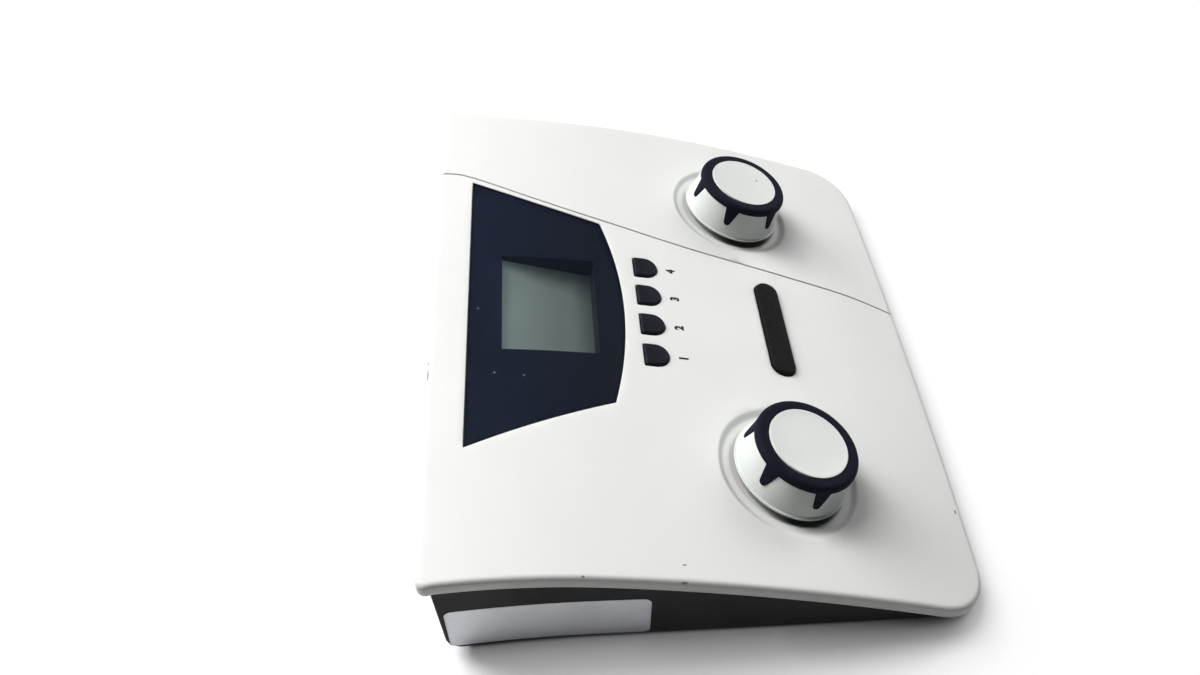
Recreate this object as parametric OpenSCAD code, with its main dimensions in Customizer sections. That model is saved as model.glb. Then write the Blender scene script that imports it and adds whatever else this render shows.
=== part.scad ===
// Portable two-knob audiometer: a sloping moulded cover over a dark tray, with a
// display window, four function keys, a long tone bar and two fluted knobs.
// +X is the user's right, +Y the rear and +Z up. The feet stand on z = 0, and the
// origin is the middle of the footprint. All sizes are in millimetres.

/* [Housing] */
// Width of the cover between its parallel sides
width = 225; // [205:1:245]
// Depth of the cover from its front to its rear apex
depth = 184; // [174:1:196]
// Height of the top surface at the front apex
front_h = 7.2; // [6.8:0.1:9]
// Height of the top surface at the rear
rear_h = 49.3; // [46:0.1:54]
// Slope of the top surface at the front, in degrees
front_slope = 21.2; // [20:0.1:22.5]
// Slope of the top surface at the rear, in degrees
rear_slope = 1.4; // [0:0.1:3]
// How far each side flares out at the rear
rear_flare = 2.8; // [0:0.1:5]
// Length over which each side flares
flare_length = 55; // [30:1:80]
// Bow of the front edge
front_bow = 2.4; // [0.5:0.1:4]
// Bow of the rear edge
rear_bow = 0.8; // [0.2:0.1:2]
// Radius of the front corners in plan
front_corner_r = 18; // [12:1:26]
// Radius of the rear corners in plan
rear_corner_r = 3; // [2:0.5:5]

/* [Cover] */
// Wall of the cover's top
top_wall = 2.5; // [2.3:0.1:3]
// Height of the cover's rim
lip_h = 5.2; // [4.6:0.1:5.6]
// Thickness of the cover's rim
lip_wall = 2.8; // [2.4:0.1:3.2]
// Rounding of the cover's upper edge
edge_r = 1.6; // [0.8:0.1:2]
// Chamfer under the rim
rim_chamfer = 0.4; // [0.2:0.1:0.8]
// Width of the decorative groove
groove_w = 0.7; // [0.4:0.1:1.2]
// Depth of the decorative groove
groove_depth = 0.6; // [0.3:0.1:0.9]

/* [Tray] */
// Wall of the tray
tray_wall = 2.4; // [2:0.1:3]
// Thickness of the tray's floor
tray_floor = 2.4; // [1.8:0.1:2.6]
// Draft of the tray's side and front walls from top to bottom
tray_draft = 0.4; // [0.2:0.1:0.8]
// Draft of the tray's rear wall from top to bottom
tray_rear_draft = 2; // [1.4:0.1:2.4]
// Rounding of the tray's lower edge at the sides and the front
tray_edge_r = 1.2; // [0.6:0.1:1.6]
// Rounding of the tray's lower edge at the rear
tray_rear_r = 7.5; // [4:0.5:8]
// Gap between the tray's wall and the cover's rim
tray_gap = 0.2; // [0.1:0.05:0.4]
// Height of the flat panel that holds the sockets
panel_top = 31; // [30:1:34]

/* [Feet] */
// Radius of a foot
foot_r = 6; // [4:0.5:8]
// Thickness of a foot
foot_t = 2.4; // [2.2:0.1:2.6]
// How far a foot stands out of the tray
foot_proud = 1.2; // [0.8:0.1:1.4]

/* [Display] */
// Width of the window's rear edge
window_rear_w = 132.4; // [126:0.1:138]
// Width of the window between its front corners
window_front_w = 91; // [84:0.5:96]
// Distance of the window's rear edge from the rear of the cover
window_rear_inset = 13.3; // [11:0.1:16]
// Length of the window from its rear edge to its front corners
window_length = 49.8; // [46:0.1:52]
// Bow of the window's front edge
window_front_bow = 6.3; // [4:0.1:8]
// Hollow of the window's sides
window_side_bow = 0.75; // [0.2:0.05:1.5]
// Thickness of the window's clear sheet
lens_t = 1; // [0.8:0.1:1.2]
// Thickness of the printed mask behind the window
mask_t = 0.2; // [0.1:0.05:0.3]
// Width of the visible part of the display
view_w = 47.2; // [42:0.2:52]
// Length of the visible part of the display
view_l = 34; // [30:0.5:37]
// Distance from the window's rear edge to the visible part
view_rear_inset = 12.2; // [10:0.1:14]
// Depth of the display's face below the knob plane
lcd_depth = 13; // [12.4:0.1:13.4]
// Thickness of the display's metal frame
bezel_t = 0.5; // [0.3:0.1:0.8]

/* [Knobs] */
// Distance between the two knobs
knob_spacing = 133.8; // [126:0.2:142]
// Distance of the knob row in front of the middle of the cover
knob_row = 28; // [24:0.5:32]
// Radius of the knob's flange
knob_flange_r = 20.3; // [19:0.1:22]
// Height of the knob above the cover
knob_h = 15.8; // [14:0.1:18]
// Gap under the knob, above the cover's surface
knob_gap = 0.8; // [0.5:0.1:1.5]
// Height of the knob's flange
knob_flange_h = 1; // [0.6:0.1:1.6]
// Radius of the skirt above its flange
skirt_bottom_r = 19.6; // [18:0.1:21]
// Radius of the skirt under the collar
skirt_top_r = 17.8; // [16:0.1:18.2]
// Wall of the knob's skirt
skirt_wall = 1.8; // [1.4:0.1:2.4]
// Height of the soft collar
collar_h = 2.8; // [2.4:0.1:4]
// How far the collar stands out from the skirt
collar_proud = 0.35; // [0.2:0.05:0.8]
// Number of grip fingers on the collar
finger_count = 6; // [4:1:9]
// Width of a grip finger at its root
finger_root_w = 5.8; // [4:0.1:8]
// Width of a grip finger at its tip
finger_tip_w = 2.8; // [2:0.1:4]
// Length of a grip finger below the collar
finger_l = 7; // [5:0.1:8]
// Angle of the left knob's first finger at rest
level_knob_turn = 8; // [0:1:59]
// Angle of the right knob's first finger at rest
frequency_knob_turn = 38; // [0:1:59]
// Radius of the knob's top disc
cap_r = 13.8; // [12:0.1:14.6]
// Thickness of the knob's top disc
cap_t = 1.4; // [1.2:0.1:2]
// Hollow of the knob's top disc
cap_hollow = 0.3; // [0.1:0.1:0.5]
// Radius of the knob's shaft
shaft_r = 3; // [2.8:0.1:3.2]
// Wall of the knob's hub around the shaft
hub_wall = 3; // [2:0.1:4]
// Outer radius of the dished well around a knob
well_r = 26; // [24.6:0.1:27]
// Depth of the well
well_depth = 1.5; // [0.8:0.1:1.8]
// Width of the well's sloping wall
well_slope_w = 2.6; // [1.5:0.1:3.2]

/* [Keys] */
// Number of function keys
key_count = 4; // [4:1:4]
// Distance between function keys
key_pitch = 15; // [13.5:0.1:16]
// Distance of the key row behind the middle of the cover
key_row = 12.5; // [11:0.1:13.5]
// Width of a function key
key_w = 9.8; // [9:0.1:11]
// Length of a function key
key_l = 9; // [8.5:0.1:10.5]
// Height of a function key above the cover
key_proud = 0.9; // [0.8:0.1:2]
// Travel of a function key
key_travel = 0.6; // [0.4:0.1:1]
// Length of the tone bar
bar_l = 47.2; // [42:0.2:52]
// Width of the tone bar
bar_w = 9.2; // [8.5:0.1:11]
// Distance of the tone bar in front of the middle of the cover
bar_row = 35.3; // [34:0.1:38]
// Height of the tone bar above the cover
bar_proud = 1.5; // [1.4:0.1:2.6]
// Travel of the tone bar
bar_travel = 1; // [0.6:0.1:1.3]
// Distance between the two switches under the tone bar
bar_switch_spacing = 30; // [24:1:34]
// Gap around a key or bar in the cover
key_gap = 0.3; // [0.2:0.05:0.5]
// Width of the flange that holds a key under the cover
key_flange = 1.1; // [0.8:0.1:1.4]
// Bevel of a key's upper edge
key_bevel = 0.6; // [0.3:0.1:0.9]

/* [Sockets] */
// Radius of a phone socket's bore
jack_bore_r = 3.2; // [3.2:0.05:3.3]
// Radius of a phone socket's threaded nose
jack_nose_r = 4.5; // [4.3:0.1:4.8]
// How far the nose stands out of the panel
jack_nose_l = 3.5; // [3:0.1:4]
// Radius of the nut on a phone socket
jack_nut_r = 6.5; // [6:0.1:7]
// Thickness of that nut
jack_nut_t = 2; // [1.5:0.1:2.5]
// Length of a phone socket's body
jack_body_l = 26; // [22:1:28]
// Width of a phone socket's body
jack_body_w = 15; // [13:0.5:16]
// Height of a phone socket's body
jack_body_h = 15.4; // [14:0.2:16]
// Radius of the power socket's bore
dc_bore_r = 2.8; // [2.75:0.05:3]
// Radius of the power socket's pin
dc_pin_r = 1; // [0.8:0.05:1.05]
// Width of the power switch's frame
switch_frame_w = 23; // [22:0.5:26]
// Height of the power switch's frame
switch_frame_h = 15; // [14.5:0.5:17]
// Half the swing of the power rocker, in degrees
rocker_tilt = 7.5; // [5:0.5:9]

/* [Boards] */
// Thickness of a circuit board
board_t = 1.6; // [1.4:0.1:1.8]
// Depth of the control board's upper face below the knob plane
board_depth = 16; // [16:0.1:16.6]
// Distance of the control board's side from the cover's side
board_side_gap = 22.5; // [20.5:0.5:26.5]
// Length of the control board in front of the knob row
control_board_front = 19; // [15:1:19]
// Length of the control board behind the knob row
control_board_rear = 104; // [102:0.5:105]
// Distance of the audio board's side from the cover's side
audio_side_gap = 29.5; // [27.5:0.5:32.5]
// Length of the audio board
audio_board_l = 66; // [56:1:70]
// Height of the posts under the audio board
audio_post_h = 4; // [3:0.1:4.4]
// Width of the ribbon cable
ribbon_w = 25; // [15:1:32]
// Thickness of the ribbon cable
ribbon_t = 1; // [0.8:0.1:1.4]

/* [Screws] */
// Radius of a screw's shank
screw_r = 1.4; // [1.2:0.1:1.5]
// Radius of a screw's head
screw_head_r = 2.7; // [2.5:0.1:2.8]
// Height of a screw's head
screw_head_h = 1.8; // [1.4:0.1:2]
// Wall around a screw
boss_wall = 2; // [1.7:0.1:2.2]
// Height of the joint between post and boss at the front
front_split = 8; // [7.6:0.1:8.4]
// Height of the joint between post and boss at the rear
rear_split = 24; // [18:0.5:28]

/* [Hidden] */
$fn = 48;
// Overlap that keeps unions and cuts clean
e = 0.01;
// How far a cutting tool reaches past a face
reach = 2;
// Clearance of a piece that seats on or in its neighbour
seat = 0.05;
// Radial clearance of a shaft or plunger that moves
running = 0.05;
// Clearance of a hole around a piece that only passes through
pass_gap = 0.2;

// Points of the plan outline: front edge, corners, side and rear edge
front_steps = 8;
corner_steps = 6;
side_steps = 16;
rear_corner_steps = 3;
rear_steps = 6;
edge_steps = 3;
// Steps of a curve along the window, the groove and the ribbon
curve_steps = 14;
groove_steps = 5;

half_w = width / 2;
half_d = depth / 2;
control_board_w = width - 2 * board_side_gap;
audio_board_w = width - 2 * audio_side_gap;
tray_z = foot_proud;
floor_z = tray_z + tray_floor;
tray_inset = lip_wall + tray_gap;
// Drops of the tray's upper edge: its inner line, and its outer line below the cover's fillet
tray_top_drop = top_wall + pass_gap;
tray_side_drop = top_wall + edge_r + pass_gap / 2;
// Share of a tray wall's height that its rounded lower edge may take
lower_share = 0.8;
// Smallest radius of a rear corner
least_corner_r = 0.3;

/* Top surface: one cubic from the front height and slope to the rear ones */
function surface_z(y) =
    let (t = (y + half_d) / depth)
    front_h * (2*t^3 - 3*t^2 + 1) + rear_h * (3*t^2 - 2*t^3)
    + depth * tan(front_slope) * (t^3 - 2*t^2 + t) + depth * tan(rear_slope) * (t^3 - t^2);
function surface_slope(y) =
    let (t = (y + half_d) / depth)
    6 * (rear_h - front_h) / depth * (t - t^2)
    + tan(front_slope) * (3*t^2 - 4*t + 1) + tan(rear_slope) * (3*t^2 - 2*t);

/* Plan outline of the cover, moved inwards by inset */
flare_start = half_d - rear_bow - flare_length;
corner_x = half_w - front_corner_r;
corner_y = -half_d + front_bow * (corner_x / half_w)^2 + front_corner_r;
function side_x(y, inset) = half_w - inset + rear_flare * (max(0, y - flare_start) / flare_length)^2;
function front_y(x, inset) = -half_d + inset + front_bow * (x / half_w)^2;
function rear_y(x, inset) = half_d - inset - rear_bow * (x / half_w)^2;

// Right half of the outline, from the front apex to the rear apex. The rear edge moves by back more
function half_outline(inset, back = 0) =
    let (
        r = front_corner_r - inset,
        rear_r = max(rear_corner_r - inset, least_corner_r),
        rear_cx = side_x(rear_y(half_w, inset + back), inset) - rear_r,
        rear_cy = rear_y(half_w, inset + back) - rear_r
    )
    concat(
        [for (i = [0:front_steps - 1]) let (x = corner_x * i / front_steps) [x, front_y(x, inset)]],
        [for (i = [0:corner_steps]) let (a = 90 * i / corner_steps - 90)
            [corner_x + r * cos(a), corner_y + r * sin(a)]],
        [for (i = [1:side_steps - 1]) let (y = corner_y + (rear_cy - corner_y) * i / side_steps)
            [side_x(y, inset), y]],
        [for (i = [0:rear_corner_steps]) let (a = 90 * i / rear_corner_steps)
            [rear_cx + rear_r * cos(a), rear_cy + rear_r * sin(a)]],
        [for (i = [1:rear_steps]) let (x = rear_cx * (1 - i / rear_steps)) [x, rear_y(x, inset + back)]]
    );
// Whole ring from its right half: the left half mirrors it
function whole_ring(half) =
    concat(half, [for (i = [len(half) - 2:-1:1]) [-half[i].x, half[i].y, half[i].z]]);
// Ring at a fixed drop below the top surface
function surface_ring(inset, drop) =
    whole_ring([for (p = half_outline(inset)) [p.x, p.y, surface_z(p.y) - drop]]);
function flat_ring(inset, z) = whole_ring([for (p = half_outline(inset)) [p.x, p.y, z]]);

// Solid through a list of rings, from the lowest to the highest
module loft(rings) {
    m = len(rings[0]);
    n = m / 2;
    last = (len(rings) - 1) * m;
    sides = [for (k = [0:len(rings) - 2]) for (j = [0:m - 1])
        let (a = k * m + j, b = k * m + (j + 1) % m)
        each [[a, a + m, b + m], [a, b + m, b]]];
    caps = [for (i = [0:n - 1])
        let (right = i, right_next = i + 1, left = (m - i) % m, left_next = m - i - 1)
        each [
            [right, right_next, left_next, left],
            [last + left, last + left_next, last + right_next, last + right]]];
    polyhedron(points = [for (r = rings) each r], convexity = 6,
        faces = concat(sides, [for (c = caps) strip_repeats(c)]));
}
// Face without the points that repeat at an apex
function strip_repeats(f) = [for (i = [0:len(f) - 1]) if (f[i] != f[(i + 1) % len(f)]) f[i]];

// Rounded edge as pairs of inset and drop, from the side to the top
function edge_pairs(r) =
    [for (i = [0:edge_steps]) let (a = 90 * i / edge_steps) [r * (1 - cos(a)), r * (1 - sin(a))]];
// Rings of a tray wall's rounded lower edge from height z up, kept below the wall's upper edge, which
// lies at a fixed drop below the top surface
function lower_rings(inset, side_r, rear_r, z, drop) =
    let (side = edge_pairs(side_r), rear = edge_pairs(rear_r), back = tray_rear_draft - tray_draft)
    [for (i = [edge_steps:-1:0])
        whole_ring([for (p = half_outline(inset + side[i][0], back + rear[i][0] - side[i][0]))
            [p.x, p.y, z + rear[i][1] * min(1, lower_share * (surface_z(p.y) - drop - z) / rear_r)]])];

/* Knob plane: tangent to the top surface at the knob row */
deck_y = -knob_row;
deck_z = surface_z(deck_y);
deck_tilt = atan(surface_slope(deck_y));
function deck_u(y) = (y - deck_y) * cos(deck_tilt) + (surface_z(y) - deck_z) * sin(deck_tilt);
function deck_w(y) = (surface_z(y) - deck_z) * cos(deck_tilt) - (y - deck_y) * sin(deck_tilt);
// Places its children in the knob plane's frame
module deck(x = 0, u = 0, w = 0) {
    translate([0, deck_y, deck_z])
        rotate([deck_tilt, 0, 0])
            translate([x, u, w])
                children();
}
board_w = -board_depth;
board_under = board_w - board_t;

/* Small helpers */
// Box from centred width and length, and two heights
module slab(w, l, z0, z1) {
    translate([-w / 2, -l / 2, z0])
        cube([w, l, z1 - z0]);
}
module rod(r, z0, z1) {
    translate([0, 0, z0])
        cylinder(r = r, h = z1 - z0);
}
module rod_y(r, y0, y1) {
    translate([0, y1, 0])
        rotate([90, 0, 0])
            cylinder(r = r, h = y1 - y0);
}
// Sheet that follows the top surface between two drops
module surface_sheet(low, high, y0, y1) {
    ys = [for (i = [0:curve_steps]) y0 + (y1 - y0) * i / curve_steps];
    rotate([90, 0, 90])
        translate([0, 0, -half_w])
            linear_extrude(width)
                polygon(concat(
                    [for (y = ys) [y, surface_z(y) - low]],
                    [for (i = [curve_steps:-1:0]) [ys[i], surface_z(ys[i]) - high]]));
}
// Points on an arc from a to b that bulges to its right by bow
function arc_points(a, b, bow) =
    let (c = b - a, l = norm(c), side = [c.y, -c.x] / l)
    [for (i = [0:curve_steps - 1]) let (t = i / curve_steps) a + c * t + side * bow * 4 * t * (1 - t)];

/* Display window */
window_rear_y = half_d - window_rear_inset;
window_front_y = window_rear_y - window_length;
window_gap = 0.15;
recess_drop = lens_t + mask_t + window_gap;
view_y = window_rear_y - view_rear_inset - view_l / 2;
view_u = deck_u(view_y);
view_border = 2;
shroud_wall = 1.2;
lcd_border = 4;

module window_outline(grow) {
    rear = window_rear_w / 2 + grow;
    front = window_front_w / 2 + grow;
    y_rear = window_rear_y + grow;
    y_front = window_front_y - grow;
    polygon(concat(
        arc_points([-front, y_front], [front, y_front], window_front_bow),
        arc_points([front, y_front], [rear, y_rear], -window_side_bow),
        [[rear, y_rear]],
        arc_points([-rear, y_rear], [-front, y_front], -window_side_bow)));
}
// Part of the window's stack, between two drops below the top surface
module window_layer(low, high, grow) {
    intersection() {
        linear_extrude(rear_h + reach)
            window_outline(grow);
        surface_sheet(low, high, window_front_y - window_front_bow - reach, window_rear_y + reach);
    }
}
module display_window() {
    color([0.35, 0.4, 0.5, 0.5])
        window_layer(lens_t, 0, 0);
}
module display_mask() {
    color([0.05, 0.06, 0.12])
        difference() {
            window_layer(lens_t + mask_t, lens_t, 0);
            deck(0, view_u)
                slab(view_w, view_l, -board_depth, reach);
        }
}
module lcd_glass() {
    color([0.45, 0.5, 0.45])
        deck(0, view_u)
            slab(view_w + 2 * lcd_border, view_l + 2 * lcd_border, board_w, -lcd_depth);
}
module lcd_bezel() {
    color("silver")
        deck(0, view_u)
            difference() {
                slab(view_w + 2 * (lcd_border + bezel_t), view_l + 2 * (lcd_border + bezel_t),
                    board_w, bezel_t - lcd_depth);
                slab(view_w + 2 * lcd_border, view_l + 2 * lcd_border, board_w - reach, -lcd_depth);
                slab(view_w + 2 * view_border, view_l + 2 * view_border, board_w, reach);
            }
}

/* Top cover */
// How far the groove runs outside the window's side at the rear and the middle
groove_gap = 1.8;
// How far it runs outside the window's front corner
groove_front_gap = 2.7;
// How far its rear end stands outside the window's rear corner
groove_rear_gap = 5.3;
// Distance of the groove from the middle of the cover at its front end
groove_front_x = 22.6;
// How far the groove's ends reach past the cover
groove_overrun = 6;
// Hand-chosen path of the groove, from the rear edge to the front edge
groove_path = [
    [window_rear_w / 2 + groove_rear_gap, half_d + groove_overrun],
    [window_rear_w / 2 + groove_rear_gap, half_d - groove_overrun],
    [window_rear_w / 2 + groove_gap, window_rear_y - 2.5],
    [(window_rear_w + window_front_w) / 4 + groove_gap, window_rear_y - window_length / 2],
    [window_front_w / 2 + groove_front_gap, window_front_y],
    [groove_front_x + 15.3, -6],
    [groove_front_x + 9.4, -42],
    [groove_front_x + 5.6, -73],
    [groove_front_x, -half_d - groove_overrun / 2]
];
// Smooth curve through hand-chosen points
function smooth_path(p) =
    [for (i = [1:len(p) - 3]) for (k = [0:groove_steps - 1])
        let (t = k / groove_steps)
        0.5 * (2 * p[i] + (p[i + 1] - p[i - 1]) * t
            + (2 * p[i - 1] - 5 * p[i] + 4 * p[i + 1] - p[i + 2]) * t^2
            + (3 * p[i] - p[i - 1] - 3 * p[i + 1] + p[i + 2]) * t^3)];
// Band of constant width along a path
function band(path, w) =
    let (
        n = len(path) - 1,
        normals = [for (i = [0:n])
            let (d = path[min(i + 1, n)] - path[max(i - 1, 0)])
            [-d.y, d.x] / norm(d)]
    )
    concat(
        [for (i = [0:n]) path[i] + normals[i] * w / 2],
        [for (i = [n:-1:0]) path[i] - normals[i] * w / 2]);
module groove() {
    path = smooth_path(concat([groove_path[0]], groove_path, [groove_path[len(groove_path) - 1]]));
    intersection() {
        linear_extrude(rear_h + reach)
            polygon(band(path, groove_w));
        surface_sheet(groove_depth, -reach, -half_d - reach, half_d + reach);
    }
}

knob_xs = [-knob_spacing / 2, knob_spacing / 2];
well_floor_r = well_r - well_slope_w;
// How far the cover thickens round and under a well
well_pad = 1.4;
// Dished well around a knob
module well_cut() {
    slope = well_slope_w / well_depth;
    rotate_extrude()
        polygon([
            [0, -well_depth],
            [well_floor_r, -well_depth],
            [well_r + slope * reach, reach],
            [0, reach]]);
}

// Distances of the cover's screws from the cover's side, front and rear
screw_side_inset = 16.5;
screw_front_inset = 30;
screw_rear_inset = 20;
// Distances of the control board's screws from its side, front and rear edges
board_screw_inset = 5;
board_screw_front = 6;
board_screw_rear = 9;
// Places of the screws that hold the tray to the cover, with the height of each joint
corner_screws = [for (s = [-1, 1]) each [
    [s * (half_w - screw_side_inset), screw_front_inset - half_d, front_split],
    [s * (half_w - screw_side_inset), half_d - screw_rear_inset, rear_split]]];
// Places of the control board's screws on the knob plane
control_screw_places = [for (s = [-1, 1])
    for (u = [board_screw_front - control_board_front, control_board_rear / 2,
            control_board_rear - board_screw_rear])
        [s * (control_board_w / 2 - board_screw_inset), u]];
boss_r = screw_r + boss_wall;
pilot_r = screw_r + seat;
// Depth that a screw bites into its boss, and the spare hole beyond its tip
screw_bite = 6;
screw_spare = 1;

module cover_shell() {
    difference() {
        loft(concat(
            [surface_ring(rim_chamfer, lip_h), surface_ring(0, lip_h - rim_chamfer)],
            [for (p = edge_pairs(edge_r)) surface_ring(p[0], p[1])]));
        loft([
            surface_ring(lip_wall, lip_h + reach),
            surface_ring(lip_wall, top_wall + edge_r),
            surface_ring(lip_wall + edge_r, top_wall)]);
    }
}
// Space under the cover's top, where its bosses and walls may stand
module under_cover() {
    loft([
        flat_ring(lip_wall + reach, -reach),
        surface_ring(lip_wall + reach, top_wall - e)]);
}
module top_cover() {
    color([0.88, 0.88, 0.85])
        difference() {
            union() {
                cover_shell();
                intersection() {
                    under_cover();
                    union() {
                        for (s = corner_screws)
                            translate([s.x, s.y, 0])
                                rod(boss_r, s.z + seat, rear_h);
                        for (s = control_screw_places)
                            deck(s.x, s.y)
                                rod(boss_r, board_w, reach);
                        for (x = knob_xs)
                            deck(x)
                                rod(well_r + well_pad, -top_wall - well_pad, 0);
                        deck(0, view_u)
                            slab(view_w + 2 * (view_border + shroud_wall),
                                view_l + 2 * (view_border + shroud_wall),
                                bezel_t - lcd_depth + pass_gap, reach);
                    }
                }
            }
            window_layer(recess_drop, -reach, window_gap);
            deck(0, view_u)
                slab(view_w + 2 * view_border, view_l + 2 * view_border, -board_depth, reach);
            for (x = knob_xs)
                deck(x) {
                    well_cut();
                    rod(bushing_r + pass_gap, -board_depth, reach);
                }
            for (i = [1:key_count])
                deck(key_x(i), key_u)
                    translate([0, 0, key_cut_low])
                        linear_extrude(board_depth)
                            key_outline(key_gap);
            deck(0, bar_u)
                translate([0, 0, key_cut_low])
                    linear_extrude(board_depth)
                        bar_outline(key_gap);
            groove();
            for (s = corner_screws)
                translate([s.x, s.y, 0])
                    rod(pilot_r, s.z - reach, s.z + screw_bite + screw_spare);
            for (s = control_screw_places)
                deck(s.x, s.y)
                    rod(pilot_r, board_w - reach, board_w + screw_bite + screw_spare);
        }
}

/* Tray */
// How far the socket panel lies inside the tray's rear wall
panel_sink = 0.9;
panel_y = half_d - tray_inset - tray_rear_draft - panel_sink;
panel_inner_y = panel_y - tray_wall;
// Distances of the socket panel's ends from the cover's left and right side
panel_left_inset = 33.5;
panel_right_inset = 16.5;
panel_x0 = panel_left_inset - half_w;
panel_x1 = half_w - panel_right_inset;
post_r = screw_head_r + pass_gap + boss_wall;
// Thickness of the post under a cover screw's head
head_seat = 2.6;
audio_top = floor_z + audio_post_h + board_t;
// Places of the phone sockets from the panel's left end
jack_offsets = [15, 38, 67];
jack_xs = [for (x = jack_offsets) panel_x0 + x];
jack_z = audio_top + jack_body_h / 2;
// Places of the power inlet and the power switch from the panel's right end
dc_offset = 54;
switch_offset = 20;
dc_x = panel_x1 - dc_offset;
switch_x = panel_x1 - switch_offset;
switch_z = 18.5;
audio_y = panel_inner_y - seat - audio_board_l / 2;
audio_screw_inset = 5;
audio_screw_places = [for (x = [-1, 1]) for (y = [-1, 1])
    [x * (audio_board_w / 2 - audio_screw_inset), audio_y + y * (audio_board_l / 2 - audio_screw_inset)]];
audio_post_wall = 1.4;
// Distances of the feet from the cover's side, front and rear
foot_side_inset = 29;
foot_front_inset = 44;
foot_rear_inset = 34;
foot_chamfer = 0.5;
foot_places = [for (y = [foot_front_inset - half_d, half_d - foot_rear_inset])
    for (x = [foot_side_inset - half_w, half_w - foot_side_inset])
        [x, y]];

module panel_block(y0, y1, grow) {
    translate([panel_x0 - grow, y0, floor_z - e])
        cube([panel_x1 - panel_x0 + 2 * grow, y1 - y0, panel_top - floor_z + grow + e]);
}
module tray_shell() {
    low = tray_inset + tray_draft;
    open_drop = tray_top_drop - reach;
    difference() {
        loft(concat(
            lower_rings(low, tray_edge_r, tray_rear_r, tray_z, tray_side_drop),
            [surface_ring(tray_inset, tray_side_drop),
                surface_ring(tray_inset + edge_r, tray_top_drop)]));
        difference() {
            loft(concat(
                lower_rings(low + tray_wall, 0, tray_rear_r - tray_wall, floor_z, open_drop),
                [surface_ring(tray_inset + tray_wall, open_drop)]));
            panel_block(panel_inner_y, half_d, tray_wall);
        }
    }
}
module base_tray() {
    color([0.11, 0.11, 0.12])
        difference() {
            union() {
                tray_shell();
                for (s = corner_screws)
                    translate([s.x, s.y, 0])
                        rod(post_r, floor_z - e, s.z);
                for (p = audio_screw_places)
                    translate([p.x, p.y, 0])
                        rod(screw_r + audio_post_wall, floor_z - e, floor_z + audio_post_h);
            }
            panel_block(panel_y, half_d, 0);
            for (s = corner_screws)
                translate([s.x, s.y, 0]) {
                    rod(screw_r + pass_gap, 0, s.z + reach);
                    rod(screw_head_r + pass_gap, -reach, s.z - head_seat);
                }
            for (p = audio_screw_places)
                translate([p.x, p.y, 0])
                    rod(pilot_r, floor_z, floor_z + audio_post_h + reach);
            for (p = foot_places)
                translate([p.x, p.y, 0])
                    rod(foot_r + seat, -reach, foot_t);
            for (x = jack_xs)
                translate([x, 0, jack_z])
                    rod_y(jack_nose_r + pass_gap, panel_inner_y - reach, half_d);
            translate([dc_x, 0, dc_z])
                rod_y(dc_nose_r + pass_gap, panel_inner_y - reach, half_d);
            translate([switch_x, 0, switch_z])
                slab_y(switch_body_w + 2 * pass_gap, switch_body_h + 2 * pass_gap,
                    panel_inner_y - reach, half_d);
        }
}
module slab_y(w, h, y0, y1) {
    translate([-w / 2, y0, -h / 2])
        cube([w, y1 - y0, h]);
}
module foot(i) {
    color([0.2, 0.2, 0.2])
        translate([foot_places[i].x, foot_places[i].y, 0])
            rotate_extrude()
                polygon([
                    [0, 0],
                    [foot_r - foot_chamfer, 0],
                    [foot_r, foot_chamfer],
                    [foot_r, foot_t],
                    [0, foot_t]]);
}

/* Boards and what stands on them */
module control_board() {
    color([0.1, 0.35, 0.2])
        difference() {
            deck()
                translate([-control_board_w / 2, -control_board_front, board_under])
                    cube([control_board_w, control_board_front + control_board_rear, board_t]);
            for (s = control_screw_places)
                deck(s.x, s.y)
                    rod(screw_r + pass_gap, board_under - reach, board_w + reach);
        }
}
module audio_board() {
    color([0.1, 0.35, 0.2])
        difference() {
            translate([0, audio_y, 0])
                slab(audio_board_w, audio_board_l, audio_top - board_t, audio_top);
            for (p = audio_screw_places)
                translate([p.x, p.y, 0])
                    rod(screw_r + pass_gap, audio_top - board_t - reach, audio_top + reach);
        }
}
// Screw that points up, its head's top at z = 0
module screw(length) {
    rod(screw_head_r, -screw_head_h, 0);
    rod(screw_r, -e, length);
}
module cover_screws() {
    color("silver")
        for (s = corner_screws)
            translate([s.x, s.y, s.z - head_seat - seat])
                screw(head_seat + screw_bite);
}
module control_screws() {
    color("silver")
        for (s = control_screw_places)
            deck(s.x, s.y, board_under - seat)
                screw(board_t + screw_bite);
}
module audio_screws() {
    color("silver")
        for (p = audio_screw_places)
            translate([p.x, p.y, audio_top + seat])
                rotate([180, 0, 0])
                    screw(board_t + audio_post_h - screw_spare);
}

// Width and height of an encoder's body
encoder_w = 12.5;
encoder_h = 6.5;
// Radius and height of the bushing on it
bushing_r = 3.5;
bushing_h = 6;
// Wall under the shaft in the encoder's body
encoder_floor = 2.5;
shaft_low = board_w + encoder_floor;
module encoder(x) {
    color("dimgray")
        deck(x)
            difference() {
                union() {
                    slab(encoder_w, encoder_w, board_w, board_w + encoder_h);
                    rod(bushing_r, board_w + encoder_h - e, board_w + encoder_h + bushing_h);
                }
                rod(shaft_r + running, shaft_low - seat, 0);
            }
}

// Width and height of a push switch
tact_w = 6;
tact_h = 3.5;
// Radius of its plunger, and how deep the plunger's foot sits at rest
plunger_r = 1.75;
plunger_sink = 0.5;
// Push switch on the control board, open for a plunger with the given travel
module push_switch(x, u, travel) {
    color("dimgray")
        deck(x, u)
            difference() {
                slab(tact_w, tact_w, board_w, board_w + tact_h);
                rod(plunger_r + running, board_w + tact_h - travel - 2 * plunger_sink, 0);
            }
}
function stem_low(travel) = board_w + tact_h + travel + pass_gap;
module plunger(x, u, travel) {
    color("ivory")
        deck(x, u)
            rod(plunger_r, board_w + tact_h - plunger_sink, stem_low(travel));
}

/* Function keys and tone bar */
key_u = deck_u(key_row);
bar_u = deck_u(-bar_row);
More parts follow.
